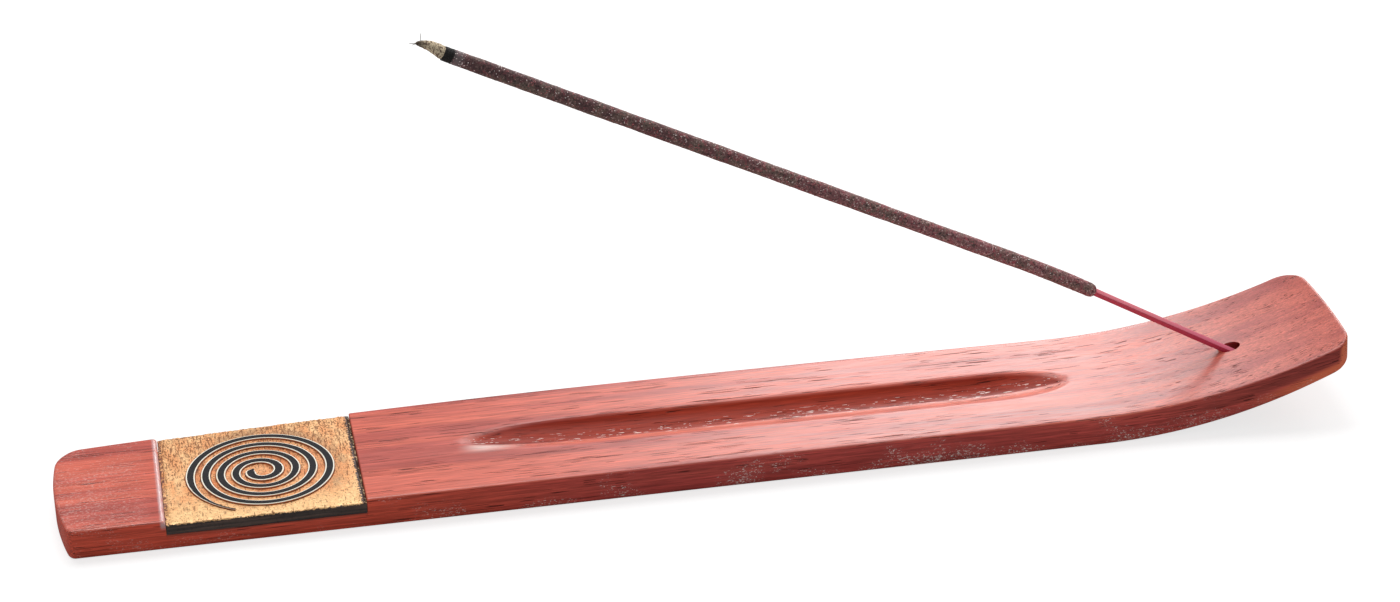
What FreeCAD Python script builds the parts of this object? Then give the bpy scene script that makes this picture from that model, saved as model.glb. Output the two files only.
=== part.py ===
import FreeCAD, Part
import math
import os
import Sketcher

# An incense burner: a long wooden ash board with one end swept up, a carved tile let into
# the flat end, and a partly burnt incense stick that stands in a slanted hole.
# X runs along the board towards the swept-up nose, Y to the back and Z up from the table.

DRIVING_SIZES = [
    ("board_length", 254.0, "overall length of the board, tail to nose"),
    ("board_width", 33.6, "width at the widest place"),
    ("board_thickness", 6.1, "thickness of the flat stretch"),
    ("sweep_length", 51.7, "start of the underside's sweep to the nose end"),
    ("underside_bend_radius", 111.2, "sweep of the underside at the nose"),
    ("top_bend_lead", 3.4, "how much earlier the top starts to sweep up"),
    ("top_bend_radius", 133.7, "sweep of the top at the nose"),
    ("nose_lean", 6.0, "lean of the nose end face, in degrees"),
    ("widest_from_tail", 108.4, "tail end to the widest place"),
    ("tail_taper", 4.25, "width lost at the tail along the back edge"),
    ("nose_taper", 2.05, "width lost at the nose along the back edge"),
    ("tail_bow", 2.2, "bow of the tail end in plan"),
    ("nose_bow", 0.8, "bow of the nose end in plan"),
    ("tail_back_corner", 5.0, "corner radius in plan"),
    ("tail_front_corner", 1.5, "corner radius in plan"),
    ("nose_corner", 4.0, "corner radius in plan, both corners"),
    ("arris_radius", 0.5, "rounding of the long edges"),
    ("cap_length", 20.06, "tail end to the slot's wall"),
    ("lip_radius", 0.8, "worn rounding of the slot's tail edge"),
    ("tile_length", 36.36, "length of the tile along the board"),
    ("tile_thickness", 2.25, "thickness of the tile under its ground"),
    ("tile_recess", 0.6, "board's top down to the tile's ground"),
    ("tile_tail_gap", 0.7, "clearance to the slot's tail wall"),
    ("tile_nose_gap", 0.47, "clearance to the slot's nose wall"),
    ("glue_thickness", 0.15, "film of glue under the tile"),
    ("glue_inset", 1.0, "edge of the tile to the edge of the glue"),
    ("spiral_off_middle_x", 0.34, "tile's middle to the spiral's centre, towards the nose"),
    ("spiral_off_middle_y", 0.56, "tile's middle to the spiral's centre, towards the front"),
    ("spiral_margin", 1.61, "tile's front and back edges to the outermost turn"),
    ("spiral_inner_radius", 1.95, "centre to the innermost turn, towards the tail"),
    ("spiral_end_angle", 241.0, "where the outer end stops, in degrees"),
    ("ridge_height", 0.4, "carved ridge above the ground"),
    ("ridge_root", 0.2, "how deep the ridge runs into the tile"),
    ("ridge_top_width", 1.35, "width of the ridge along its crest"),
    ("ridge_base_width", 1.8, "width of the ridge at the ground"),
    ("groove_from_tail", 77.1, "tail end to the groove's first point"),
    ("groove_from_nose", 53.7, "nose end to the groove's last point"),
    ("groove_width", 10.2, "width of the ash groove"),
    ("groove_depth", 1.8, "depth of the ash groove"),
    ("groove_tail_runout", 28.0, "stretch over which the groove fades out"),
    ("groove_nose_runout", 18.0, "stretch over which the groove fades out"),
    ("groove_from_front", 16.6, "board's front face to the groove's middle"),
    ("groove_skew", -0.55, "turn of the groove in plan, in degrees"),
    ("hole_from_nose", 22.0, "nose end to the place where the stick goes in"),
    ("hole_from_front", 14.5, "board's front face to the stick"),
    ("hole_diameter", 3.2, "drilled hole for the stick"),
    ("hole_floor", 1.0, "wood left under the hole"),
    ("stick_play", 0.7, "stick's axis to the hole's axis, as it leans"),
    ("stick_seat_gap", 0.05, "stick's end to the bottom of the hole"),
    ("stick_angle", 29.7, "slope of the bare stick, in degrees"),
    ("core_width", 1.4, "bamboo splint, square"),
    ("core_corner", 0.35, "rounded corners of the splint"),
    ("bare_length", 37.9, "splint below the coat"),
    ("stick_bend_radius", 300.0, "slight sag of the stick"),
    ("stick_bend_angle", 3.5, "slight sag of the stick, in degrees"),
    ("coat_lead", 1.7, "coat before the sag begins"),
    ("coat_run", 120.3, "coat from the sag to the char"),
    ("coat_diameter", 2.85, "incense paste round the splint"),
    ("coat_bond_gap", 0.05, "splint to paste, all round"),
    ("coat_end_round", 0.35, "rounding of the coat's lower end"),
    ("char_length", 1.6, "charred band"),
    ("char_diameter", 2.7, "charred band"),
    ("ash_length", 5.4, "ash cone"),
    ("ash_base_diameter", 2.6, "ash cone at the char"),
    ("ash_tip_diameter", 0.6, "ash cone at its tip"),
    ("tool_margin", 5.0, "how far each cut runs past the wood"),
]

SPIRAL_TURNS = 4

# Places that follow from the driving sizes
LAYOUT = [
    ("tail_x", "-Sizes.board_length / 2"),
    ("nose_x", "Sizes.board_length / 2"),
    ("front_y", "-Sizes.board_width / 2"),
    ("back_y", "Sizes.board_width / 2"),
    ("side_y", "Sizes.board_width / 2 + Sizes.tool_margin"),
    ("cut_reach", "2 * Sizes.tool_margin"),
    ("nose_cut_reach", "2 * cut_reach"),
    ("far_back_y", "back_y + cut_reach"),
    ("far_tail_x", "tail_x - cut_reach"),
    ("far_nose_x", "nose_x + cut_reach"),
    ("blank_tail_x", "tail_x - Sizes.tool_margin"),
    ("blank_nose_x", "nose_x + Sizes.tool_margin"),
    ("bend_x", "nose_x - Sizes.sweep_length"),
    ("top_bend_x", "bend_x - Sizes.top_bend_lead"),
    ("underside_nose_z", "Sizes.underside_bend_radius"
     " - sqrt(Sizes.underside_bend_radius ^ 2 - (nose_x - bend_x) ^ 2)"),
    ("blank_underside_z", "Sizes.underside_bend_radius"
     " - sqrt(Sizes.underside_bend_radius ^ 2 - (blank_nose_x - bend_x) ^ 2)"),
    ("blank_top_z", "Sizes.board_thickness + Sizes.top_bend_radius"
     " - sqrt(Sizes.top_bend_radius ^ 2 - (blank_nose_x - top_bend_x) ^ 2)"),
    ("widest_x", "tail_x + Sizes.widest_from_tail"),
    ("tail_edge_radius", "(Sizes.widest_from_tail ^ 2 + Sizes.tail_taper ^ 2) / (2 * Sizes.tail_taper)"),
    ("nose_edge_radius", "((nose_x - widest_x) ^ 2 + Sizes.nose_taper ^ 2) / (2 * Sizes.nose_taper)"),
    ("far_tail_y", "back_y - tail_edge_radius + sqrt(tail_edge_radius ^ 2 - (widest_x - far_tail_x) ^ 2)"),
    ("far_nose_y", "back_y - nose_edge_radius + sqrt(nose_edge_radius ^ 2 - (far_nose_x - widest_x) ^ 2)"),
    ("tail_bow_radius", "(back_y ^ 2 + Sizes.tail_bow ^ 2) / (2 * Sizes.tail_bow)"),
    ("nose_bow_radius", "(back_y ^ 2 + Sizes.nose_bow ^ 2) / (2 * Sizes.nose_bow)"),
    ("tail_sag", "tail_bow_radius - sqrt(tail_bow_radius ^ 2 - side_y ^ 2)"),
    ("nose_sag", "nose_bow_radius - sqrt(nose_bow_radius ^ 2 - side_y ^ 2)"),
    ("slot_tail_x", "tail_x + Sizes.cap_length"),
    ("tile_tail_x", "slot_tail_x + Sizes.tile_tail_gap"),
    ("tile_nose_x", "tile_tail_x + Sizes.tile_length"),
    ("slot_nose_x", "tile_nose_x + Sizes.tile_nose_gap"),
    ("ground_z", "Sizes.board_thickness - Sizes.tile_recess"),
    ("tile_bed_z", "ground_z - Sizes.tile_thickness"),
    ("slot_floor_z", "tile_bed_z - Sizes.glue_thickness"),
    ("tile_tail_back_y", "back_y - tail_edge_radius"
     " + sqrt(tail_edge_radius ^ 2 - (widest_x - tile_tail_x) ^ 2)"),
    ("tile_nose_back_y", "back_y - tail_edge_radius"
     " + sqrt(tail_edge_radius ^ 2 - (widest_x - tile_nose_x) ^ 2)"),
    ("spiral_x", "(tile_tail_x + tile_nose_x) / 2 + Sizes.spiral_off_middle_x"),
    ("spiral_y", "(front_y + tile_tail_back_y) / 2 - Sizes.spiral_off_middle_y"),
    ("spiral_radius", "(tile_tail_back_y - front_y) / 2 - Sizes.spiral_margin"),
    ("spiral_pitch", f"(spiral_radius - Sizes.spiral_inner_radius) / {SPIRAL_TURNS}"),
    ("spiral_shift", "spiral_pitch / 4"),
    ("spiral_end_radius", "spiral_radius + spiral_shift"),
    ("spiral_end_x", "spiral_x + spiral_shift + spiral_end_radius * cos(Sizes.spiral_end_angle)"),
    ("spiral_end_y", "spiral_y + spiral_end_radius * sin(Sizes.spiral_end_angle)"),
    ("groove_length", "Sizes.board_length - Sizes.groove_from_tail - Sizes.groove_from_nose"),
    ("groove_middle_x", "tail_x + Sizes.groove_from_tail + groove_length / 2"),
    ("groove_middle_y", "front_y + Sizes.groove_from_front"),
    ("cutter_radius", "(Sizes.groove_width ^ 2 / 4 + Sizes.groove_depth ^ 2) / (2 * Sizes.groove_depth)"),
    ("cutter_z", "Sizes.board_thickness - Sizes.groove_depth + cutter_radius"),
    ("cutter_end_z", "cutter_z + 2 * Sizes.groove_depth"),
    ("tail_ramp_radius", "(Sizes.groove_tail_runout ^ 2 + Sizes.groove_depth ^ 2)"
     " / (2 * Sizes.groove_depth)"),
    ("nose_ramp_radius", "(Sizes.groove_nose_runout ^ 2 + Sizes.groove_depth ^ 2)"
     " / (2 * Sizes.groove_depth)"),
    ("tail_ramp", "2 * sqrt(Sizes.groove_depth * (tail_ramp_radius - Sizes.groove_depth))"),
    ("nose_ramp", "2 * sqrt(Sizes.groove_depth * (nose_ramp_radius - Sizes.groove_depth))"),
    ("groove_tail_run", "Sizes.groove_tail_runout - groove_length / 2"),
    ("groove_nose_run", "groove_length / 2 - Sizes.groove_nose_runout"),
    ("groove_start", "groove_tail_run - tail_ramp"),
    ("groove_stop", "groove_nose_run + nose_ramp"),
    ("groove_start_x", "groove_middle_x + groove_start * cos(Sizes.groove_skew)"),
    ("groove_start_y", "groove_middle_y + groove_start * sin(Sizes.groove_skew)"),
    ("groove_start_dip", "asin(tail_ramp / tail_ramp_radius) / 1 deg"),
    ("stick_y", "front_y + Sizes.hole_from_front"),
    ("stick_rise", "sin(Sizes.stick_angle)"),
    ("stick_reach", "cos(Sizes.stick_angle)"),
    ("upper_angle", "Sizes.stick_angle - Sizes.stick_bend_angle"),
    ("mouth_x", "nose_x - Sizes.hole_from_nose"),
    ("mouth_z", "Sizes.board_thickness + Sizes.top_bend_radius"
     " - sqrt(Sizes.top_bend_radius ^ 2 - (mouth_x - top_bend_x) ^ 2)"),
    ("hole_low_side", "Sizes.stick_play - Sizes.hole_diameter / 2"),
    ("hole_low_x", "mouth_x + hole_low_side * stick_rise - bend_x"),
    ("hole_low_z", "mouth_z + hole_low_side * stick_reach - Sizes.underside_bend_radius"),
    ("hole_aim", "hole_low_z * stick_rise - hole_low_x * stick_reach"),
    ("hole_depth", "hole_aim + sqrt(hole_aim ^ 2 - hole_low_x ^ 2 - hole_low_z ^ 2"
     " + (Sizes.underside_bend_radius - Sizes.hole_floor) ^ 2)"),
    ("drill_start_x", "mouth_x - stick_reach * Sizes.tool_margin"),
    ("drill_start_z", "mouth_z + stick_rise * Sizes.tool_margin"),
    ("seat_depth", "hole_depth - Sizes.stick_seat_gap"),
    ("core_end_x", "mouth_x + stick_reach * seat_depth"),
    ("core_end_z", "mouth_z - stick_rise * seat_depth"),
    ("coat_end_x", "core_end_x - stick_reach * Sizes.bare_length"),
    ("coat_end_z", "core_end_z + stick_rise * Sizes.bare_length"),
    ("sag_start_x", "coat_end_x - stick_reach * Sizes.coat_lead"),
    ("sag_start_z", "coat_end_z + stick_rise * Sizes.coat_lead"),
    ("sag_end_x", "sag_start_x - Sizes.stick_bend_radius * (stick_rise - sin(upper_angle))"),
    ("sag_end_z", "sag_start_z + Sizes.stick_bend_radius * (cos(upper_angle) - stick_reach)"),
    ("char_x", "sag_end_x - cos(upper_angle) * Sizes.coat_run"),
    ("char_z", "sag_end_z + sin(upper_angle) * Sizes.coat_run"),
    ("ash_x", "char_x - cos(upper_angle) * Sizes.char_length"),
    ("ash_z", "char_z + sin(upper_angle) * Sizes.char_length"),
    ("bore_width", "Sizes.core_width + 2 * Sizes.coat_bond_gap"),
    ("bore_corner", "Sizes.core_corner + Sizes.coat_bond_gap"),
]

SHARP_ANGLE = 20.0
UPRIGHT = 0.8
RIM_SLACK = 0.1
LEFT_TURN = 1
RIGHT_TURN = -1
Y_AXIS = FreeCAD.Vector(0, 1, 0)

doc = FreeCAD.newDocument("incense_burner")


def fill_sheets():
    """Write the driving sizes as plain numbers and the places that follow as formulas."""
    sizes = doc.addObject("Spreadsheet::Sheet", "Sizes")
    for row, (name, number, meaning) in enumerate(DRIVING_SIZES, start=1):
        sizes.set(f"A{row}", meaning)
        sizes.set(f"B{row}", str(number))
        sizes.setAlias(f"B{row}", name)
    doc.recompute()
    layout = doc.addObject("Spreadsheet::Sheet", "Layout")
    for row, (name, formula) in enumerate(LAYOUT, start=1):
        layout.set(f"A{row}", name)
        layout.setAlias(f"B{row}", name)
        layout.set(f"B{row}", "=" + formula)
    doc.recompute()
    return sizes


def value(expression):
    """The number that an expression has now."""
    return float(SHEET.evalExpression(expression))


def origin_plane(body, role):
    """One of the body's own origin planes."""
    for feature in body.Origin.OriginFeatures:
        if feature.Role == role:
            return feature
    raise ValueError(role)


def new_body(label):
    """An empty body whose label names its file."""
    body = doc.addObject("PartDesign::Body", label)
    body.Label = label
    return body


def new_sketch(body, name, role, base=("0", "0", "0"), axis=None, angle="0"):
    """A sketch on an origin plane, shifted by base and turned by angle about axis."""
    sketch = body.newObject("Sketcher::SketchObject", name)
    sketch.AttachmentSupport = [(origin_plane(body, role), "")]
    sketch.MapMode = "FlatFace"
    shift = FreeCAD.Vector(*[value(part) for part in base])
    turn = FreeCAD.Rotation(axis, value(angle)) if axis else FreeCAD.Rotation()
    sketch.AttachmentOffset = FreeCAD.Placement(shift, turn)
    for letter, part in zip("xyz", base):
        sketch.setExpression(f"AttachmentOffset.Base.{letter}", part)
    if axis:
        sketch.setExpression("AttachmentOffset.Rotation.Angle", angle)
    return sketch


def bind(sketch, kind, where, expression):
    """Add one measured constraint that follows an expression."""
    index = sketch.addConstraint(Sketcher.Constraint(kind, *where, value(expression)))
    sketch.setExpression(f"Constraints[{index}]", expression)


def pin(sketch, edge, end, across, up):
    """Hold one end of an edge at a place."""
    bind(sketch, "DistanceX", (-1, 1, edge, end), across)
    bind(sketch, "DistanceY", (-1, 1, edge, end), up)


def arc_between(start, end, radius, turn):
    """An arc of under half a circle that turns left or right on its way."""
    middle = (start + end) / 2
    along = end - start
    half = along.Length / 2
    along.normalize()
    left = FreeCAD.Vector(-along.y, along.x, 0)
    centre = middle + left * turn * max(radius ** 2 - half ** 2, 0) ** 0.5
    top = centre - left * turn * radius
    return Part.Arc(start, top, end)


def draw(sketch, corners, closed=True):
    """Draw edges from corner to corner. A corner with a radius and a turn is reached by an arc."""
    places = [FreeCAD.Vector(value(corner[0]), value(corner[1]), 0) for corner in corners]
    count = len(corners) if closed else len(corners) - 1
    last = None
    first = None
    for step in range(count):
        target = corners[(step + 1) % len(corners)]
        start = places[step]
        end = places[(step + 1) % len(corners)]
        ends = (1, 2)
        if len(target) == 4:
            edge = sketch.addGeometry(arc_between(start, end, value(target[2]), target[3]))
            if target[3] == RIGHT_TURN:
                ends = (2, 1)
            bind(sketch, "Radius", (edge,), target[2])
        else:
            edge = sketch.addGeometry(Part.LineSegment(start, end))
        pin(sketch, edge, ends[0], corners[step][0], corners[step][1])
        if last:
            sketch.addConstraint(Sketcher.Constraint("Coincident", last[0], last[1], edge, ends[0]))
        last = (edge, ends[1])
        first = first or (edge, ends[0])
    if closed:
        sketch.addConstraint(Sketcher.Constraint("Coincident", last[0], last[1], first[0], first[1]))
    else:
        pin(sketch, last[0], last[1], corners[-1][0], corners[-1][1])


def draw_circle(sketch, radius):
    """A circle about the sketch's own origin."""
    edge = sketch.addGeometry(Part.Circle(FreeCAD.Vector(), FreeCAD.Vector(0, 0, 1), value(radius)))
    sketch.addConstraint(Sketcher.Constraint("Coincident", edge, 3, -1, 1))
    bind(sketch, "Radius", (edge,), radius)


def draw_rounded_square(sketch, width, corner):
    """A square with round corners about the sketch's own origin."""
    half = f"({width} / 2)"
    inner = f"({width} / 2 - {corner})"
    draw(sketch, [
        (f"-{inner}", f"-{half}", corner, LEFT_TURN),
        (inner, f"-{half}"),
        (half, f"-{inner}", corner, LEFT_TURN),
        (half, inner),
        (inner, half, corner, LEFT_TURN),
        (f"-{inner}", half),
        (f"-{half}", inner, corner, LEFT_TURN),
        (f"-{half}", f"-{inner}"),
    ])


def pad(body, name, sketch, length):
    """Raise a sketch along its normal."""
    feature = body.newObject("PartDesign::Pad", name)
    feature.Profile = sketch
    feature.setExpression("Length", length)
    doc.recompute()
    return feature


def cut_through(body, name, sketch):
    """Cut a sketch right through the body, both ways."""
    feature = body.newObject("PartDesign::Pocket", name)
    feature.Profile = sketch
    feature.SideType = "Symmetric"
    feature.Type = "ThroughAll"
    doc.recompute()
    return feature


def sweep(body, kind, name, section, path):
    """Sweep a section along a path, to add or to cut."""
    feature = body.newObject(f"PartDesign::{kind}", name)
    feature.Profile = section
    feature.Spine = (path, [f"Edge{number}" for number in range(1, len(path.Shape.Edges) + 1)])
    doc.recompute()
    return feature


def edge_names(shape, wanted):
    """The names of the sharp edges that a test picks out."""
    names = []
    for number, edge in enumerate(shape.Edges, start=1):
        faces = shape.ancestorsOfType(edge, Part.Face)
        middle = edge.valueAt((edge.FirstParameter + edge.LastParameter) / 2)
        normals = [face.normalAt(*face.Surface.parameter(middle)) for face in faces]
        if len(normals) < 2:
            continue
        turn = math.degrees(normals[0].getAngle(normals[1]))
        if turn > SHARP_ANGLE and wanted(edge, middle):
            names.append(f"Edge{number}")
    return names


def round_edges(body, name, base, wanted, radius):
    """Round the sharp edges that a test picks out."""
    feature = body.newObject("PartDesign::Fillet", name)
    feature.Base = (base, edge_names(base.Shape, wanted))
    feature.setExpression("Radius", radius)
    doc.recompute()
    return feature


def is_upright(edge):
    """Whether an edge is a corner that stands up from the table."""
    along = edge.tangentAt((edge.FirstParameter + edge.LastParameter) / 2)
    return abs(along.z) > UPRIGHT


def board_blank(board):
    """The board's side view, as wide as the wood it is cut from."""
    side = new_sketch(board, "side_view", "XZ_Plane")
    draw(side, [
        ("Layout.blank_tail_x", "0"),
        ("Layout.bend_x", "0"),
        ("Layout.blank_nose_x", "Layout.blank_underside_z", "Sizes.underside_bend_radius", LEFT_TURN),
        ("Layout.blank_nose_x", "Layout.blank_top_z"),
        ("Layout.top_bend_x", "Sizes.board_thickness", "Sizes.top_bend_radius", RIGHT_TURN),
        ("Layout.blank_tail_x", "Sizes.board_thickness"),
    ])
    blank = board.newObject("PartDesign::Pad", "blank")
    blank.Profile = side
    blank.SideType = "Two sides"
    blank.setExpression("Length", "Layout.back_y")
    blank.setExpression("Length2", "Layout.side_y")
    doc.recompute()


def trim_board(board):
    """The board's plan: a shallow curve along the back edge and a bow at each end."""
    back = new_sketch(board, "back_edge", "XY_Plane")
    draw(back, [
        ("Layout.far_tail_x", "Layout.far_tail_y"),
        ("Layout.widest_x", "Layout.back_y", "Layout.tail_edge_radius", RIGHT_TURN),
        ("Layout.far_nose_x", "Layout.far_nose_y", "Layout.nose_edge_radius", RIGHT_TURN),
        ("Layout.far_nose_x", "Layout.far_back_y"),
        ("Layout.far_tail_x", "Layout.far_back_y"),
    ])
    cut_through(board, "back_trim", back)
    tail = new_sketch(board, "tail_end", "XY_Plane", ("Layout.tail_x", "0", "0"))
    draw(tail, [
        ("Layout.tail_sag", "-Layout.side_y"),
        ("Layout.tail_sag", "Layout.side_y", "Layout.tail_bow_radius", RIGHT_TURN),
        ("-Layout.cut_reach", "Layout.side_y"),
        ("-Layout.cut_reach", "-Layout.side_y"),
    ])
    cut_through(board, "tail_trim", tail)
    nose = new_sketch(board, "nose_end", "XY_Plane", ("Layout.nose_x", "0", "Layout.underside_nose_z"),
                      Y_AXIS, "-Sizes.nose_lean")
    draw(nose, [
        ("-Layout.nose_sag", "-Layout.side_y"),
        ("-Layout.nose_sag", "Layout.side_y", "Layout.nose_bow_radius", LEFT_TURN),
        ("Layout.nose_cut_reach", "Layout.side_y"),
        ("Layout.nose_cut_reach", "-Layout.side_y"),
    ])
    return cut_through(board, "nose_trim", nose)


def ease_board(board, trimmed):
    """Round the corners in plan, then ease every long edge."""
    corners = round_edges(board, "tail_back_round", trimmed,
                          lambda edge, at: is_upright(edge) and at.x < 0 and at.y > 0,
                          "Sizes.tail_back_corner")
    corners = round_edges(board, "tail_front_round", corners,
                          lambda edge, at: is_upright(edge) and at.x < 0 and at.y < 0,
                          "Sizes.tail_front_corner")
    corners = round_edges(board, "nose_round", corners,
                          lambda edge, at: is_upright(edge) and at.x > 0, "Sizes.nose_corner")
    round_edges(board, "arris", corners, lambda edge, at: not is_upright(edge), "Sizes.arris_radius")


def cut_slot(board):
    """The slot across the flat end that takes the tile, with its tail edge worn round."""
    slot = new_sketch(board, "slot_section", "XZ_Plane")
    lip_x = "Layout.slot_tail_x - Sizes.lip_radius"
    above = "Sizes.board_thickness + Sizes.tool_margin"
    draw(slot, [
        ("Layout.slot_tail_x", "Layout.slot_floor_z"),
        ("Layout.slot_nose_x", "Layout.slot_floor_z"),
        ("Layout.slot_nose_x", above),
        (lip_x, above),
        (lip_x, "Sizes.board_thickness"),
        ("Layout.slot_tail_x", "Sizes.board_thickness - Sizes.lip_radius", "Sizes.lip_radius", RIGHT_TURN),
    ])
    cut_through(board, "slot", slot)


def cut_groove(board):
    """The ash groove: a round-nosed cutter that ramps in, runs level and ramps out."""
    path = new_sketch(board, "groove_path", "XZ_Plane",
                      ("Layout.groove_middle_x", "0", "-Layout.groove_middle_y"), Y_AXIS, "Sizes.groove_skew")
    draw(path, [
        ("Layout.groove_start", "Layout.cutter_end_z"),
        ("Layout.groove_tail_run", "Layout.cutter_z", "Layout.tail_ramp_radius", LEFT_TURN),
        ("Layout.groove_nose_run", "Layout.cutter_z"),
        ("Layout.groove_stop", "Layout.cutter_end_z", "Layout.nose_ramp_radius", LEFT_TURN),
    ], closed=False)
    cutter = new_sketch(board, "groove_cutter", "YZ_Plane",
                        ("Layout.groove_start_y", "Layout.cutter_end_z", "Layout.groove_start_x"))
    turn = FreeCAD.Rotation(0, value("Sizes.groove_skew"), value("Layout.groove_start_dip"))
    cutter.AttachmentOffset = FreeCAD.Placement(cutter.AttachmentOffset.Base, turn)
    cutter.setExpression("AttachmentOffset.Rotation.Pitch", "Sizes.groove_skew")
    cutter.setExpression("AttachmentOffset.Rotation.Roll", "Layout.groove_start_dip")
    draw_circle(cutter, "Layout.cutter_radius")
    doc.recompute()
    sweep(board, "SubtractivePipe", "groove", cutter, path)


def drill_hole(board):
    """The slanted blind hole that the stick stands in."""
    mouth = new_sketch(board, "hole_section", "XY_Plane",
                       ("Layout.drill_start_x + Sizes.stick_play * Layout.stick_rise", "Layout.stick_y",
                        "Layout.drill_start_z + Sizes.stick_play * Layout.stick_reach"),
                       Y_AXIS, "Sizes.stick_angle - 90")
    draw_circle(mouth, "Sizes.hole_diameter / 2")
    hole = board.newObject("PartDesign::Pocket", "hole")
    hole.Profile = mouth
    hole.setExpression("Length", "Layout.hole_depth + Sizes.tool_margin")
    doc.recompute()


def build_board():
    """One board: blank, plan, eased edges, slot, groove and hole."""
    board = new_body("base_board")
    board_blank(board)
    trimmed = trim_board(board)
    ease_board(board, trimmed)
    for cut in (cut_slot, cut_groove, drill_hole):
        before = board.Shape.Volume
        cut(board)
        print(cut.__name__, "takes", round(before - board.Shape.Volume, 2), "cubic mm")
    return board


def spiral_corners():
    """The ridge's centreline: quarter turns about two centres, from its outer end inwards."""
    corners = [("Layout.spiral_end_x", "Layout.spiral_end_y")]
    left_x = "Layout.spiral_x - Layout.spiral_radius"
    corners.append((left_x, "Layout.spiral_y", "Layout.spiral_end_radius", RIGHT_TURN))
    for turn in range(SPIRAL_TURNS + 1):
        reach = f"Layout.spiral_radius - {turn} * Layout.spiral_pitch"
        upper = f"({reach} - Layout.spiral_shift)"
        lower = f"({reach} - 3 * Layout.spiral_shift)"
        top_x = "Layout.spiral_x - Layout.spiral_shift"
        corners.append((top_x, f"Layout.spiral_y + {upper}", upper, RIGHT_TURN))
        if turn == SPIRAL_TURNS:
            break
        corners += [
            (f"Layout.spiral_x + {reach} - 2 * Layout.spiral_shift", "Layout.spiral_y", upper, RIGHT_TURN),
            ("Layout.spiral_x + Layout.spiral_shift", f"Layout.spiral_y - {lower}", lower, RIGHT_TURN),
            (f"Layout.spiral_x - ({reach} - Layout.spiral_pitch)", "Layout.spiral_y", lower, RIGHT_TURN),
        ]
    return corners


def build_tile():
    """The carved tile: a thin block cut flush with the board's sides, and its spiral ridge."""
    tile = new_body("spiral_tile")
    plan = new_sketch(tile, "tile_plan", "XY_Plane", ("0", "0", "Layout.tile_bed_z"))
    draw(plan, [
        ("Layout.tile_tail_x", "Layout.front_y"),
        ("Layout.tile_nose_x", "Layout.front_y"),
        ("Layout.tile_nose_x", "Layout.tile_nose_back_y"),
        ("Layout.tile_tail_x", "Layout.tile_tail_back_y", "Layout.tail_edge_radius", LEFT_TURN),
    ])
    pad(tile, "block", plan, "Sizes.tile_thickness")
    path = new_sketch(tile, "spiral_path", "XY_Plane", ("0", "0", "Layout.ground_z"))
    draw(path, spiral_corners(), closed=False)
    section = new_sketch(tile, "ridge_section", "XZ_Plane",
                         ("Layout.spiral_end_x", "Layout.ground_z", "-Layout.spiral_end_y"),
                         Y_AXIS, "Sizes.spiral_end_angle")
    base = "(Sizes.ridge_base_width / 2)"
    crest = "(Sizes.ridge_top_width / 2)"
    draw(section, [
        (f"-{base}", "-Sizes.ridge_root"),
        (base, "-Sizes.ridge_root"),
        (base, "0"),
        (crest, "Sizes.ridge_height"),
        (f"-{crest}", "Sizes.ridge_height"),
        (f"-{base}", "0"),
    ])
    doc.recompute()
    sweep(tile, "AdditivePipe", "ridge", section, path)
    return tile


def build_glue():
    """The film of glue that beds the tile in its slot."""
    glue = new_body("tile_glue_bed")
    plan = new_sketch(glue, "glue_plan", "XY_Plane", ("0", "0", "Layout.slot_floor_z"))
    tail = "Layout.tile_tail_x + Sizes.glue_inset"
    nose = "Layout.tile_nose_x - Sizes.glue_inset"
    front = "Layout.front_y + Sizes.glue_inset"
    back = "Layout.tile_tail_back_y - Sizes.glue_inset"
    draw(plan, [(tail, front), (nose, front), (nose, back), (tail, back)])
    pad(glue, "film", plan, "Sizes.glue_thickness")
    return glue


def stick_path(body, name, start_x, start_z):
    """The stick's line from a place on its bare stretch, through the sag, up to the char."""
    path = new_sketch(body, name, "XZ_Plane", ("0", "0", "-Layout.stick_y"))
    draw(path, [
        (start_x, start_z),
        ("Layout.sag_start_x", "Layout.sag_start_z"),
        ("Layout.sag_end_x", "Layout.sag_end_z", "Sizes.stick_bend_radius", LEFT_TURN),
        ("Layout.char_x", "Layout.char_z"),
    ], closed=False)
    return path


def build_core():
    """The bamboo splint, from the bottom of the hole up to the char."""
    core = new_body("stick_core")
    path = stick_path(core, "core_path", "Layout.core_end_x", "Layout.core_end_z")
    section = new_sketch(core, "core_section", "XY_Plane",
                         ("Layout.core_end_x", "Layout.stick_y", "Layout.core_end_z"),
                         Y_AXIS, "Sizes.stick_angle - 90")
    draw_rounded_square(section, "Sizes.core_width", "Sizes.core_corner")
    doc.recompute()
    sweep(core, "AdditivePipe", "splint", section, path)
    return core


def build_coat():
    """The sleeve of incense paste on the splint."""
    coat = new_body("incense_coat")
    path = stick_path(coat, "coat_path", "Layout.coat_end_x", "Layout.coat_end_z")
    section = new_sketch(coat, "coat_section", "XY_Plane",
                         ("Layout.coat_end_x", "Layout.stick_y", "Layout.coat_end_z"),
                         Y_AXIS, "Sizes.stick_angle - 90")
    draw_circle(section, "Sizes.coat_diameter / 2")
    draw_rounded_square(section, "Layout.bore_width", "Layout.bore_corner")
    doc.recompute()
    sleeve = sweep(coat, "AdditivePipe", "sleeve", section, path)
    lower_end = FreeCAD.Vector(*[value(f"Layout.{name}") for name in ("coat_end_x", "stick_y", "coat_end_z")])
    rim = value("Sizes.coat_diameter") / 2
    round_edges(coat, "lower_round", sleeve,
                lambda edge, at: abs(at.distanceToPoint(lower_end) - rim) < RIM_SLACK, "Sizes.coat_end_round")
    return coat


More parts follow.
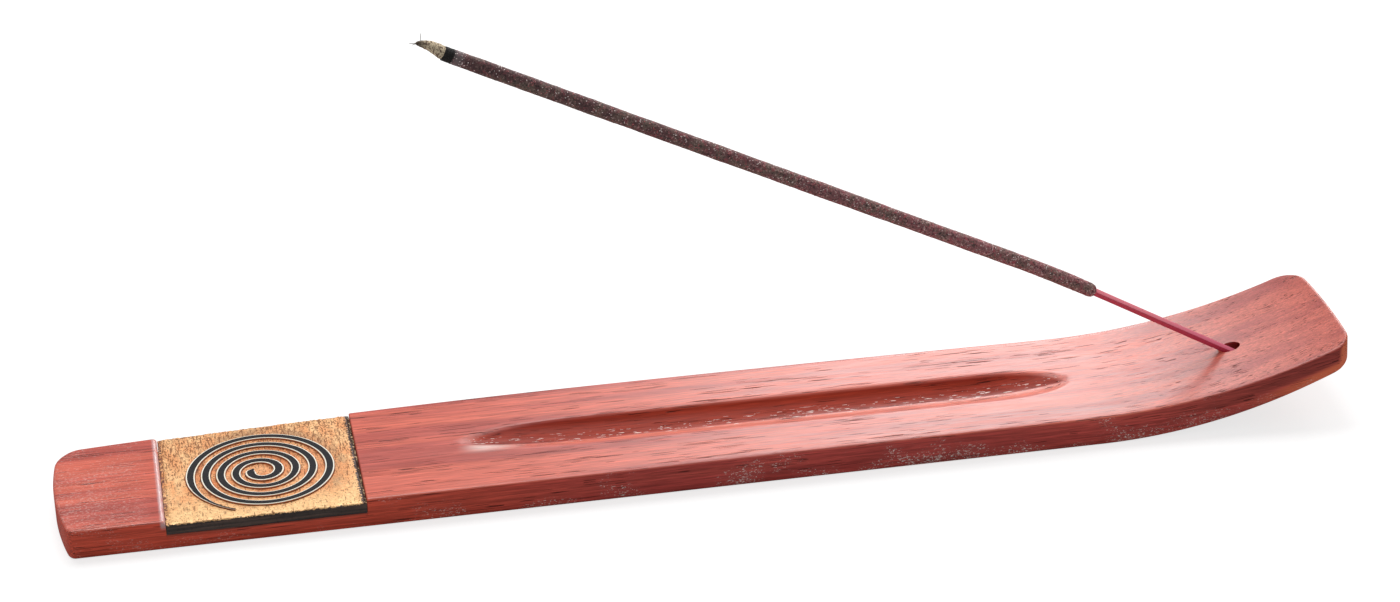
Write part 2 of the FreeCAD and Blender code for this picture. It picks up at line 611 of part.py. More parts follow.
def stand_on_stick(piece, along_x, along_z):
    """Stand a turned piece on the stick's upper line."""
    lean = FreeCAD.Rotation(Y_AXIS, value("Layout.upper_angle - 90"))
    piece.Placement = FreeCAD.Placement(FreeCAD.Vector(), lean)
    piece.setExpression("Placement.Base.x", along_x)
    piece.setExpression("Placement.Base.y", "Layout.stick_y")
    piece.setExpression("Placement.Base.z", along_z)
    piece.setExpression("Placement.Rotation.Angle", "Layout.upper_angle - 90")


def build_char():
    """The charred band at the burning end."""
    char = doc.addObject("Part::Cylinder", "char_band")
    char.Label = "char_band"
    char.setExpression("Radius", "Sizes.char_diameter / 2")
    char.setExpression("Height", "Sizes.char_length")
    stand_on_stick(char, "Layout.char_x", "Layout.char_z")
    return char


def build_ash():
    """The cone of ash that hangs on above the char."""
    ash = doc.addObject("Part::Cone", "ash_tip")
    ash.Label = "ash_tip"
    ash.setExpression("Radius1", "Sizes.ash_base_diameter / 2")
    ash.setExpression("Radius2", "Sizes.ash_tip_diameter / 2")
    ash.setExpression("Height", "Sizes.ash_length")
    stand_on_stick(ash, "Layout.ash_x", "Layout.ash_z")
    return ash


def check(pieces):
    """Stop if any object failed or any piece isn't one valid solid."""
    doc.recompute()
    for thing in doc.Objects:
        if "Invalid" in thing.State or "Error" in thing.State:
            raise RuntimeError(f"{thing.Label} failed: {thing.State}")
    for piece in pieces:
        shape = piece.Shape
        if shape.isNull() or not shape.isValid() or len(shape.Solids) != 1:
            raise RuntimeError(f"{piece.Label} isn't one valid solid")


SHEET = fill_sheets()
PIECES = [build_board(), build_tile(), build_glue(), build_core(), build_coat(), build_char(), build_ash()]
check(PIECES)
os.makedirs("parts", exist_ok=True)
for part in PIECES:
    part.Shape.exportStep(f"parts/{part.Label}.step")
    box = part.Shape.optimalBoundingBox(False)
    print(f"{part.Label}: {part.Shape.Volume:.2f} cubic mm, x {box.XMin:.2f} to {box.XMax:.2f},"
          f" y {box.YMin:.2f} to {box.YMax:.2f}, z {box.ZMin:.2f} to {box.ZMax:.2f}")
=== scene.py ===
# %% [markdown]
# # An incense burner: a wooden ash board with a leaning stick
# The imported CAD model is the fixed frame. It gives the sizes, the bodies and the places, and
# this file adds what CAD leaves plain: worn edges, wood figure, a carved and gilded tile, and
# the grain of the burning stick. Lengths on the object are written in millimetres times MM, places in
# a material are plain millimetres, and the floor and the lamps are in metres.

# %% Load the frame
import math
import bpy
import numpy as np
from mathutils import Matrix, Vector, noise


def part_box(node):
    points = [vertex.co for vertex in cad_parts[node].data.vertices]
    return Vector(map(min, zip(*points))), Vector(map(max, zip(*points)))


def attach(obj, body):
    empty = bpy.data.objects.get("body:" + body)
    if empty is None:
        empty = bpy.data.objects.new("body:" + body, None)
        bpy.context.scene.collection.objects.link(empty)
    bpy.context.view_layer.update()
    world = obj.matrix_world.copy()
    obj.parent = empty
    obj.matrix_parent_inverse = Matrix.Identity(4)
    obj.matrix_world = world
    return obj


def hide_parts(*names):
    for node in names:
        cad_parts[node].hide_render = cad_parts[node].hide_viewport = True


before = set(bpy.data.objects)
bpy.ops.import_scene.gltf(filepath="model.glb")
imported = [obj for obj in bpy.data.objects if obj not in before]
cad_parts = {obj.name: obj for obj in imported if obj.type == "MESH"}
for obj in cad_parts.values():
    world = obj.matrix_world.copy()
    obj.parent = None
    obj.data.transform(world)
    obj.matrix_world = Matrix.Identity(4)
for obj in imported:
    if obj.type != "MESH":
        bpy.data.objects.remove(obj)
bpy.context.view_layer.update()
MM = 0.001

# %% [markdown]
# ## The camera
# The photograph was taken with a long lens from the front left, a little above the board. A fit of
# the board's edges gave the lens, the place and the direction, so they are set straight from it.

# %% Camera
LENS_MM = 79.44
SENSOR_MM = 36.0
CAMERA_PLACE = Vector((-108.86, -508.96, 317.18)) * MM
CAMERA_AIM = Vector((9.81, 57.11, 0.0)) * MM

camera_data = bpy.data.cameras.new("camera")
camera_data.lens = LENS_MM
camera_data.sensor_width = SENSOR_MM
camera_data.sensor_fit = "HORIZONTAL"
camera_data.clip_start = 0.01
camera = bpy.data.objects.new("camera", camera_data)
camera.location = CAMERA_PLACE
camera.rotation_euler = (CAMERA_AIM - CAMERA_PLACE).to_track_quat("-Z", "Y").to_euler()
bpy.context.scene.collection.objects.link(camera)
bpy.context.scene.camera = camera
bpy.context.scene.view_settings.view_transform = "Standard"
print("camera looks from", tuple(round(c, 3) for c in camera.location))

# %% [markdown]
# ## Helpers for shader trees
# A material is a small graph. These helpers add one node each and hand back its output, so that a
# material below reads from top to bottom like a recipe.

# %% Shader helpers
NOISE_LOW, NOISE_HIGH = 0.3, 0.7


def wire(tree, given, socket):
    """Link a socket, or set a plain value."""
    if isinstance(given, bpy.types.NodeSocket):
        tree.links.new(given, socket)
    elif socket.type == "RGBA":
        socket.default_value = (*given[:3], 1.0)
    else:
        socket.default_value = given


def grow(tree, kind, inputs=(), **settings):
    """Add a node, with its settings and its inputs by name or number."""
    node = tree.nodes.new(kind)
    for name, setting in settings.items():
        setattr(node, name, setting)
    for name, given in dict(inputs).items():
        wire(tree, given, node.inputs[name])
    return node


def maths(tree, operation, first, second=0.0, third=0.0, clamp=False):
    """One step of arithmetic."""
    inputs = {0: first, 1: second, 2: third}
    return grow(tree, "ShaderNodeMath", inputs, operation=operation, use_clamp=clamp).outputs[0]


def product(tree, *factors):
    """Several masks or values multiplied together."""
    result = factors[0]
    for factor in factors[1:]:
        result = maths(tree, "MULTIPLY", result, factor)
    return result


def fade(tree, given, low, high, start=0.0, stop=1.0):
    """A value that goes smoothly from start to stop as given goes from low to high."""
    inputs = {"Value": given, "From Min": low, "From Max": high, "To Min": start, "To Max": stop}
    return grow(tree, "ShaderNodeMapRange", inputs, interpolation_type="SMOOTHSTEP").outputs[0]


def between(tree, given, rise, fall):
    """A mask that is full between a rise and a fall, each given as the low and high of a fade."""
    return product(tree, fade(tree, given, *rise), fade(tree, given, *fall))


def over_noise(tree, given, start, stop):
    """A value that goes from start to stop between a noise's usual low and high."""
    return fade(tree, given, NOISE_LOW, NOISE_HIGH, start, stop)


def blend(tree, amount, first, second, how="MIX"):
    """Two colours mixed by an amount."""
    inputs = {0: amount, 6: first, 7: second}
    return grow(tree, "ShaderNodeMix", inputs, data_type="RGBA", blend_type=how).outputs[2]


def stretched_noise(tree, place, size, detail=2.0, rough=0.5, shift=(0.0, 0.0, 0.0)):
    """Noise whose features have a size along each axis, in millimetres."""
    scale = tuple(1.0 / length for length in size)
    mapped = grow(tree, "ShaderNodeMapping", {"Vector": place, "Scale": scale, "Location": shift})
    inputs = {"Vector": mapped.outputs[0], "Scale": 1.0, "Detail": detail, "Roughness": rough}
    return grow(tree, "ShaderNodeTexNoise", inputs).outputs[0]


def new_material(name, colour):
    """A material with its Principled shader, and the object's own place in millimetres."""
    material = bpy.data.materials.new(name)
    material.use_nodes = True
    material.diffuse_color = (*colour, 1.0)
    tree = material.node_tree
    shader = tree.nodes["Principled BSDF"]
    coordinates = grow(tree, "ShaderNodeTexCoord")
    inputs = {0: coordinates.outputs["Object"], "Scale": 1.0 / MM}
    place = grow(tree, "ShaderNodeVectorMath", inputs, operation="SCALE").outputs[0]
    return material, tree, shader, place


def split(tree, place):
    """The three parts of a place."""
    return grow(tree, "ShaderNodeSeparateXYZ", {0: place}).outputs


def paint(tree, shader, tone, rough):
    """Give a shader its colour and its roughness."""
    wire(tree, tone, shader.inputs["Base Color"])
    wire(tree, rough, shader.inputs["Roughness"])


def bump(tree, shader, height, distance, strength):
    """Let a height tilt the surface's normal."""
    inputs = {"Height": height, "Distance": distance, "Strength": strength}
    wire(tree, grow(tree, "ShaderNodeBump", inputs).outputs[0], shader.inputs["Normal"])


print("shader helpers ready")

# %% [markdown]
# ## Effects that several finishes share
# Wood figure is solid: long in the grain's direction and narrow across it, so a cut at an angle shows
# short ticks and an end shows dots. Dust is a patchy speckle that gathers in clouds. Each is a node
# group with named inputs, placed in a material with its own values.


# %% Shared node groups
def new_group(name, inputs, outputs):
    """An empty shader group with named sockets. An input with three numbers is a vector."""
    group = bpy.data.node_groups.new(name, "ShaderNodeTree")
    for label, start in inputs.items():
        kind = "NodeSocketVector" if isinstance(start, tuple) else "NodeSocketFloat"
        group.interface.new_socket(label, in_out="INPUT", socket_type=kind).default_value = start
    for label in outputs:
        group.interface.new_socket(label, in_out="OUTPUT", socket_type="NodeSocketFloat")
    return group, group.nodes.new("NodeGroupInput").outputs, group.nodes.new("NodeGroupOutput").inputs


def make_figure_group():
    """Bands, fine streaks and open pores of a wood whose grain runs along X."""
    group, given, out = new_group(
        "wood figure",
        {"Place": (0.0, 0.0, 0.0), "Pore length": 3.0, "Pore width": 0.2, "Pore share": 0.66},
        ["Bands", "Streaks", "Pores"])
    place = given["Place"]
    wire(group, stretched_noise(group, place, (90.0, 5.0, 3.0), 2.0), out["Bands"])
    wire(group, stretched_noise(group, place, (14.0, 0.45, 0.45), 3.0, 0.6), out["Streaks"])
    parts = split(group, place)
    along = maths(group, "DIVIDE", parts[0], given["Pore length"])
    across = maths(group, "DIVIDE", parts[1], given["Pore width"])
    upward = maths(group, "DIVIDE", parts[2], given["Pore width"])
    packed = grow(group, "ShaderNodeCombineXYZ", {0: along, 1: across, 2: upward}).outputs[0]
    dash = stretched_noise(group, packed, (1.0, 1.0, 1.0), 0.0)
    cluster = stretched_noise(group, place, (22.0, 2.2, 2.2), 1.0, 0.5, (7.0, 3.0, 1.0))
    level = maths(group, "ADD", dash, fade(group, cluster, 0.35, 0.7, -0.12, 0.05))
    top = maths(group, "ADD", given["Pore share"], 0.012)
    wire(group, fade(group, level, given["Pore share"], top), out["Pores"])
    return group


def make_dust_group():
    """Clouds of fine pale specks."""
    inputs = {"Place": (0.0, 0.0, 0.0), "Cloud size": 9.0, "Amount": 0.5}
    group, given, out = new_group("dust", inputs, ["Mask"])
    shrunk = {0: given["Place"], 1: given["Cloud size"]}
    clouds = grow(group, "ShaderNodeVectorMath", shrunk, operation="DIVIDE").outputs[0]
    cloud = stretched_noise(group, clouds, (1.6, 1.0, 1.0), 3.0, 0.6)
    speck = stretched_noise(group, given["Place"], (0.55, 0.22, 0.22), 2.0, 0.7, (5.0, 2.0, 9.0))
    lean = product(group, maths(group, "SUBTRACT", 1.0, given["Amount"]), 0.5)
    cover = fade(group, maths(group, "SUBTRACT", cloud, lean), 0.1, 0.42)
    level = maths(group, "ADD", speck, product(group, cover, 0.1))
    grit = product(group, fade(group, level, 0.64, 0.69), fade(group, cover, 0.02, 0.3))
    wire(group, maths(group, "MAXIMUM", grit, product(group, cover, 0.05)), out["Mask"])
    return group


FIGURE = make_figure_group()
DUST = make_dust_group()


def place_group(tree, group, inputs):
    """Place a shared group in a material and set its inputs."""
    node = tree.nodes.new("ShaderNodeGroup")
    node.node_tree = group
    for name, given in inputs.items():
        wire(tree, given, node.inputs[name])
    return node.outputs


print("shared groups:", FIGURE.name, "and", DUST.name)

# %% [markdown]
# ## Mesh helpers
# The board and the tile are slabs. A slab here is a stack of plates: the first plate is the whole top,
# the last is the whole underside, and those between lend only their rims. Plain quads join the rims,
# so edges and corners stay clean.

# %% Mesh helpers
SHARP_DEGREES = 30.0


def new_piece(name, points, faces, material, sharp=SHARP_DEGREES):
    """A mesh object at the origin, smooth but for edges sharper than an angle."""
    mesh = bpy.data.meshes.new(name)
    mesh.from_pydata([tuple(point) for point in points], [], faces)
    mesh.update()
    return dress(bpy.data.objects.new(name, mesh), material, sharp)


def dress(piece, material, sharp=SHARP_DEGREES):
    """Link a piece, set its shading and its finish."""
    mesh = piece.data
    mesh.polygons.foreach_set("use_smooth", [True] * len(mesh.polygons))
    mesh.set_sharp_from_angle(angle=math.radians(sharp))
    mesh.materials.clear()
    mesh.materials.append(material)
    if piece.name not in bpy.context.scene.collection.objects:
        bpy.context.scene.collection.objects.link(piece)
    return piece


def rim(columns, rows):
    """The grid numbers of a plate's rim, once around."""
    front = [(i, 0) for i in range(columns)]
    far = [(columns, j) for j in range(rows)]
    back = [(i, rows) for i in range(columns, 0, -1)]
    near = [(0, j) for j in range(rows, 0, -1)]
    return front + far + back + near


def slab(plates):
    """Points and faces of a closed slab from a stack of plates, top first."""
    columns, rows = plates[0].shape[0] - 1, plates[0].shape[1] - 1
    edge = rim(columns, rows)
    points = [tuple(point) for point in plates[0].reshape(-1, 3)]
    faces = []
    for i in range(columns):
        for j in range(rows):
            a = i * (rows + 1) + j
            faces.append((a, a + rows + 1, a + rows + 2, a + 1))
    above = [i * (rows + 1) + j for i, j in edge]
    for plate in plates[1:]:
        first = len(points)
        if plate is plates[-1]:
            points += [tuple(point) for point in plate.reshape(-1, 3)]
            below = [first + i * (rows + 1) + j for i, j in edge]
            for i in range(columns):
                for j in range(rows):
                    a = first + i * (rows + 1) + j
                    faces.append((a, a + 1, a + rows + 2, a + rows + 1))
        else:
            points += [tuple(plate[i, j]) for i, j in edge]
            below = [first + number for number in range(len(edge))]
        for n in range(len(edge)):
            m = (n + 1) % len(edge)
            faces.append((above[n], below[n], below[m], above[m]))
        above = below
    return points, faces


def spaced(*stops):
    """Numbers that run from stop to stop, each stretch given as (end, steps)."""
    numbers = [stops[0]]
    for end, steps in stops[1:]:
        start = numbers[-1]
        numbers += [start + (end - start) * (step + 1) / steps for step in range(steps)]
    return np.array(numbers)


def wobble(point, size, height, seed):
    """A smooth random height at a place, the same each run."""
    return noise.noise(Vector(point) / size + Vector((seed, seed * 1.7, seed * 0.3))) * height


print("mesh helpers ready")

# %% [markdown]
# ## The board's shape
# The board is one length of hardwood: sawn, swept up at the nose, bowed a little at both ends and along
# its back edge. It could be a box with boolean cuts, but their ragged faces would show in the sheen, so
# it is worked out as plates that follow the same sizes as the CAD: stations along X carry the side
# view, and rows across Y close up along the lips of the ash groove.

# %% Board sizes
BOARD_LOW, BOARD_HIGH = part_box("base_board")
TAIL_X, FRONT_Y = BOARD_LOW.x, BOARD_LOW.y
NOSE_X = -TAIL_X
BACK_Y = BOARD_HIGH.y
TOP_Z = 6.1 * MM
SWEEP_X = NOSE_X - 51.7 * MM
TOP_SWEEP_X = SWEEP_X - 3.4 * MM
UNDER_SWEEP_RADIUS = 111.2 * MM
TOP_SWEEP_RADIUS = 133.7 * MM
NOSE_LEAN = math.radians(6.0)
WIDEST_X = TAIL_X + 108.4 * MM
TAIL_TAPER = 4.25 * MM
NOSE_TAPER = 2.05 * MM
TAIL_BOW, NOSE_BOW = 2.2 * MM, 0.8 * MM
BOW_REACH = 14.0 * MM
CORNERS = {("tail", "back"): 5.0 * MM, ("tail", "front"): 1.6 * MM,
           ("nose", "back"): 5.6 * MM, ("nose", "front"): 4.0 * MM}
END_REACH = 5.0 * MM
LEAN_REACH = 8.0 * MM
ARRIS = 0.55 * MM
ARRIS_STEPS = 4
SLOT_TAIL_X = TAIL_X + 20.06 * MM
SLOT_NOSE_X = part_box("spiral_tile")[1].x + 0.47 * MM
SLOT_FLOOR_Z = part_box("tile_glue_bed")[0].z
LIP = 0.8 * MM
LIP_STEPS = 6
WALL_DRAFT = 0.03 * MM
SLOT_ARRIS = 0.15 * MM
GROOVE_TAIL_X = TAIL_X + 77.1 * MM
GROOVE_NOSE_X = NOSE_X - 53.7 * MM
GROOVE_DEPTH = 1.8 * MM
GROOVE_HALF = 5.1 * MM
GROOVE_TAIL_RUN, GROOVE_NOSE_RUN = 28.0 * MM, 18.0 * MM
GROOVE_Y = FRONT_Y + 16.6 * MM
GROOVE_SKEW = math.radians(-0.55)
LIP_SOFTNESS = 0.03 * MM
NARROWEST_HALF = 1.4 * MM
print("board", [round(v / MM, 2) for v in (TAIL_X, NOSE_X, FRONT_Y, BACK_Y)])


# %% Board heights
def sagitta(reach, radius):
    """How far a circle falls away from its tangent."""
    return radius - np.sqrt(np.maximum(radius ** 2 - reach ** 2, 0.0))


def top_height(x):
    """The top's side view without slot or groove."""
    return TOP_Z + sagitta(np.maximum(x - TOP_SWEEP_X, 0.0), TOP_SWEEP_RADIUS)


def under_height(x):
    """The underside's side view."""
    return sagitta(np.maximum(x - SWEEP_X, 0.0), UNDER_SWEEP_RADIUS)


def back_edge(x):
    """The back edge in plan: two shallow arcs that meet at the widest place."""
    tail_reach, nose_reach = WIDEST_X - TAIL_X, NOSE_X - WIDEST_X
    tail_radius = (tail_reach ** 2 + TAIL_TAPER ** 2) / (2 * TAIL_TAPER)
    nose_radius = (nose_reach ** 2 + NOSE_TAPER ** 2) / (2 * NOSE_TAPER)
    radius = np.where(x < WIDEST_X, tail_radius, nose_radius)
    return BACK_Y - sagitta(x - WIDEST_X, radius)


CUTTER_RADIUS = (GROOVE_HALF ** 2 + GROOVE_DEPTH ** 2) / (2 * GROOVE_DEPTH)


def groove_middle(x):
    """The line that the groove's cutter follows, in plan."""
    middle_x = (GROOVE_TAIL_X + GROOVE_NOSE_X) / 2
    return GROOVE_Y + (x - middle_x) * math.tan(GROOVE_SKEW)


def groove_floor(x):
    """How deep the cutter runs at a station: it ramps in, runs level and ramps out."""
    depth = np.full_like(x, GROOVE_DEPTH)
    for run, past in ((GROOVE_TAIL_RUN, GROOVE_TAIL_X + GROOVE_TAIL_RUN - x),
                      (GROOVE_NOSE_RUN, x - GROOVE_NOSE_X + GROOVE_NOSE_RUN)):
        radius = (run ** 2 + GROOVE_DEPTH ** 2) / (2 * GROOVE_DEPTH)
        depth = depth - sagitta(np.maximum(past, 0.0), radius)
    return depth


def groove_cut(x, y):
    """How much wood the groove takes at a place, with lips that are rounded off a little."""
    across = y - groove_middle(x)
    cut = groove_floor(x) - sagitta(across, CUTTER_RADIUS)
    soft = np.where(np.abs(across) > 0.9 * CUTTER_RADIUS, -1.0, cut)
    return (soft + np.sqrt(soft ** 2 + LIP_SOFTNESS ** 2)) / 2


def groove_half(x):
    """Half the groove's width at a station, never under the narrowest mesh row."""
    depth = np.clip(groove_floor(x), 0.0, GROOVE_DEPTH)
    return np.maximum(np.sqrt(CUTTER_RADIUS ** 2 - (CUTTER_RADIUS - depth) ** 2), NARROWEST_HALF)


print("groove cutter radius", round(CUTTER_RADIUS / MM, 2), "mm")

# %% [markdown]
# Each station holds an X and a height. The slot for the tile is a dip in that list: a worn round lip on
# the tail side, two nearly upright walls and a floor. Rows are shared out in three bands: front flank,
# groove, back flank.

# %% Board stations and rows
lip_turns = np.linspace(0.0, math.pi / 2, LIP_STEPS + 1)[1:]
lip_x, lip_z = SLOT_TAIL_X - LIP, TOP_Z - LIP
lip_stations = [(lip_x + LIP * math.sin(a), lip_z + LIP * math.cos(a)) for a in lip_turns]
tail_stations = [(x, None) for x in spaced(TAIL_X, (TAIL_X + 3 * MM, 8), (TAIL_X + 10 * MM, 9),
                                           (SLOT_TAIL_X - LIP, 9))]
slot_stations = [(SLOT_TAIL_X + WALL_DRAFT, SLOT_FLOOR_Z)]
slot_stations += [(x, SLOT_FLOOR_Z) for x in spaced(SLOT_TAIL_X + 1 * MM, (SLOT_NOSE_X - 1 * MM, 14))]
slot_stations += [(SLOT_NOSE_X - WALL_DRAFT, SLOT_FLOOR_Z), (SLOT_NOSE_X, TOP_Z - SLOT_ARRIS)]
long_stations = [(x, None) for x in spaced(SLOT_NOSE_X + SLOT_ARRIS, (-50 * MM, 20), (75 * MM, 156),
                                           (117 * MM, 60), (124 * MM, 9), (NOSE_X, 8))]
STATIONS = tail_stations + lip_stations + slot_stations + long_stations
STATION_X = np.array([x for x, _ in STATIONS])
STATION_Z = np.array([np.nan if z is None else z for _, z in STATIONS])

FLANK_ROWS, GROOVE_ROWS = 15, 24
LIP_ROW = 0.12 * MM


def row_places(x):
    """The rows across the board at each station, from 0 at the front to 1 at the back."""
    back = back_edge(x)
    low = (groove_middle(x) - groove_half(x) - FRONT_Y) / (back - FRONT_Y)
    high = (groove_middle(x) + groove_half(x) - FRONT_Y) / (back - FRONT_Y)
    near = LIP_ROW / (back - FRONT_Y)
    flank = np.linspace(0.0, 1.0, FLANK_ROWS + 1)
    middle = np.linspace(0.0, 1.0, GROOVE_ROWS + 1)
    front = (low - near)[:, None] * flank
    groove = (low + near)[:, None] + (high - low - 2 * near)[:, None] * middle
    rear = (high + near)[:, None] + (1.0 - high - near)[:, None] * flank
    return np.concatenate([front, low[:, None], groove, high[:, None], rear], axis=1)


ROWS = row_places(STATION_X)
print(len(STATIONS), "stations and", ROWS.shape[1], "rows")


# %% Board plates
def round_corner(along, across, radius):
    """Pull a square corner onto an arc. Both distances are from the edges, inwards."""
    a = np.clip(radius - along, 0.0, radius)
    b = np.clip(radius - across, 0.0, radius)
    reach = np.maximum(np.hypot(a, b), 1e-9)
    pull = np.maximum(a, b) / reach
    inside = (a > 0) & (b > 0)
    return np.where(inside, radius - a * pull, along), np.where(inside, radius - b * pull, across)


def plan(inset):
    """The board's plan, taken in by an inset, as X and Y of every grid point."""
    x = np.repeat(STATION_X[:, None], ROWS.shape[1], axis=1)
    near_tail = np.clip(1 - (x - TAIL_X) / END_REACH, 0.0, 1.0)
    near_nose = np.clip(1 - (NOSE_X - x) / END_REACH, 0.0, 1.0)
    x = x + inset * (near_tail - near_nose)
    front, back = FRONT_Y + inset, back_edge(x) - inset
    y = front + (back - front) * ROWS
    for (end, side), radius in CORNERS.items():
        along = x - TAIL_X - inset if end == "tail" else NOSE_X - inset - x
        across = y - front if side == "front" else back - y
        along, across = round_corner(along, across, radius - inset)
        x = TAIL_X + inset + along if end == "tail" else NOSE_X - inset - along
        y = front + across if side == "front" else back - across
    share = 2 * (y - FRONT_Y) / (BACK_Y - FRONT_Y) - 1
    tail_pull = np.clip(1 - (x - TAIL_X) / BOW_REACH, 0.0, 1.0) ** 2
    nose_pull = np.clip(1 - (NOSE_X - x) / BOW_REACH, 0.0, 1.0) ** 2
    return x + share ** 2 * (TAIL_BOW * tail_pull - NOSE_BOW * nose_pull), y


def heights(x, y, with_groove):
    """The top's height over the plan, with the slot's dip and, on the top itself, the groove."""
    z = np.where(np.isnan(STATION_Z)[:, None], top_height(x), STATION_Z[:, None])
    return z - groove_cut(x, y) if with_groove else z


def lean_nose(x, z):
    """Lean the nose's end face back."""
    near = np.clip(1 - (NOSE_X - x) / LEAN_REACH, 0.0, 1.0)
    return x - near * (z - under_height(NOSE_X)) * math.tan(NOSE_LEAN)


def board_plate(inset, drop, rise=None):
    """One plate: drop below the top, or rise above the underside."""
    x, y = plan(inset)
    if rise is None:
        z = heights(x, y, drop == 0.0) - drop
    else:
        z = under_height(x) + rise
    return np.stack([lean_nose(x, z), y, z], axis=-1)


def board_plates():
    """All plates of the board, from the top down."""
    turns = np.linspace(0.0, math.pi / 2, ARRIS_STEPS + 1)
    upper = [board_plate(ARRIS * (1 - math.sin(a)), ARRIS * (1 - math.cos(a))) for a in turns]
    lower = [board_plate(ARRIS * (1 - math.cos(a)), 0.0, ARRIS * (1 - math.sin(a))) for a in turns]
    return upper + lower


board_points, board_faces = slab(board_plates())
print("board:", len(board_points), "points,", len(board_faces), "faces")

# %% [markdown]
# ## The board's finish
# The wood is a reddish hardwood with an oiled, half-gloss top. Its figure is solid, so the swept nose
# shows short ticks where the cut crosses the pores. The sawn sides are darker and dusty, and the groove
# holds flecks of ash. Light and shade are painted in as well: painted shade with the oil on the groove's
# far slope, a painted sheen on its near slope and a painted highlight at its tail end, painted shade high
# and painted bounce light low on the nose's sides, and a painted highlight on the lip before the tile. One
# picture could hold all this, but it would stretch on the sides, so masks are worked out from the place
# and from the way that the surface faces.

# %% Board colours
WOOD_LIGHT = (0.7, 0.133, 0.081)
WOOD_DEEP = (0.5, 0.078, 0.056)
NOSE_MAUVE = (0.86, 0.97, 1.12)
WOOD_SIDE = (0.82, 0.105, 0.058)
WOOD_SIDE_MAUVE = (0.64, 0.092, 0.082)
# Orange of the end grain, also used for painted bounce light low on the nose's sides.
WOOD_END_AND_BOUNCE = (0.9, 0.2, 0.09)
# Painted shade together with oil: this darkens the groove's far slope.
GROOVE_OIL_AND_SHADE = (0.5, 0.27, 0.2)
# Painted sheen: the groove's near slope, which faces the back light, is made paler.
GROOVE_PAINTED_SHEEN = (1.25, 1.75, 2.0)
# Dark of the open pores, also used for the painted shade high on the nose's sides.
PORE_AND_SHADE_COLOUR = (0.085, 0.02, 0.016)
# Pale colour of dust and ash flecks, also used for the painted highlight at the groove's tail end.
DUST_AND_HIGHLIGHT_COLOUR = (1.0, 0.86, 0.8)
# Painted highlight on the round lip before the tile.
LIP_HIGHLIGHT_COLOUR = (0.66, 0.44, 0.44)
NOSE_MAUVE_X = (78.0, 104.0)
NOSE_PAINTED_SHADE_X = (85.0, 110.0)
NOSE_BOUNCE_X = (102.0, 120.0)
SIDE_MAUVE_X = (-75.0, -10.0)
DUST_FROM_X = (-75.0, -45.0)
DUST_UNTIL_X = (80.0, 105.0)
GROOVE_PAINTED_SHEEN_ACROSS = (-1.0, -4.6)
GRAIN_FOLLOWS = 0.6
BOARD_PORES = {"Pore length": 6.0, "Pore width": 0.2, "Pore share": 0.7}
print("board colours:", WOOD_LIGHT, WOOD_DEEP)


# %% Board wood
def swept_rise(tree, parts, start, radius, share=1.0):
    """How far a sweep has risen at a place past its start, in millimetres."""
    past = maths(tree, "MAXIMUM", maths(tree, "SUBTRACT", parts[0], start / MM), 0.0)
    return product(tree, past, past, share * MM / (2 * radius))


def board_figure(tree, parts):
    """The wood figure, along a grain that partly follows the swept nose."""
    rise = swept_rise(tree, parts, TOP_SWEEP_X, TOP_SWEEP_RADIUS, GRAIN_FOLLOWS)
    level = maths(tree, "SUBTRACT", parts[2], rise)
    bent = grow(tree, "ShaderNodeCombineXYZ", {0: parts[0], 1: parts[1], 2: level}).outputs[0]
    return place_group(tree, FIGURE, {"Place": bent, **BOARD_PORES})


def height_above_underside(tree, parts):
    """The height over the board's own underside, in millimetres."""
    return maths(tree, "SUBTRACT", parts[2], swept_rise(tree, parts, SWEEP_X, UNDER_SWEEP_RADIUS))


def board_tone(tree, parts, place, normal, side, figure):
    """Bare wood: a banded top, a mauve nose, darker sawn sides, orange end grain, open pores, and on the
    nose's sides painted shade high up and painted bounce light low down.
    """
    top = maths(tree, "SUBTRACT", 1.0, side)
    above = height_above_underside(tree, parts)
    tone = blend(tree, fade(tree, figure["Bands"], 0.4, 0.66), WOOD_LIGHT, WOOD_DEEP)
    nose = product(tree, top, fade(tree, parts[0], *NOSE_MAUVE_X))
    tone = blend(tree, nose, tone, NOSE_MAUVE, "MULTIPLY")
    sawn = blend(tree, fade(tree, parts[0], *SIDE_MAUVE_X), WOOD_SIDE, WOOD_SIDE_MAUVE)
    tone = blend(tree, product(tree, side, 0.75), tone, sawn)
    streaks = {"Value": figure["Streaks"], "From Min": NOISE_LOW, "From Max": NOISE_HIGH,
               "To Min": fade(tree, side, 0.0, 1.0, 0.8, 0.62), "To Max": 1.16}
    tone = blend(tree, 1.0, tone, grow(tree, "ShaderNodeMapRange", streaks).outputs[0], "MULTIPLY")
    hair = stretched_noise(tree, place, (6.0, 0.2, 0.2), 2.0, 0.6, (4.0, 1.0, 2.0))
    tone = blend(tree, 1.0, tone, over_noise(tree, hair, 0.78, 1.14), "MULTIPLY")
    # Painted shade: the upper part of the nose's sawn sides is darkened.
    nose_painted_shade = product(tree, side, fade(tree, parts[0], *NOSE_PAINTED_SHADE_X), fade(tree, above, 2.2, 3.6), 0.4)
    tone = blend(tree, nose_painted_shade, tone, PORE_AND_SHADE_COLOUR)
    # Painted bounce light: the lowest part of the nose's sides turns orange, as the real end grain does.
    foot = product(tree, side, fade(tree, parts[0], *NOSE_BOUNCE_X), fade(tree, above, 3.2, 1.8))
    end_grain_and_bounce = maths(tree, "MAXIMUM", fade(tree, normal[0], 0.15, 0.5), foot)
    tone = blend(tree, product(tree, end_grain_and_bounce, 0.85), tone, WOOD_END_AND_BOUNCE)
    return blend(tree, product(tree, figure["Pores"], 0.85), tone, PORE_AND_SHADE_COLOUR)


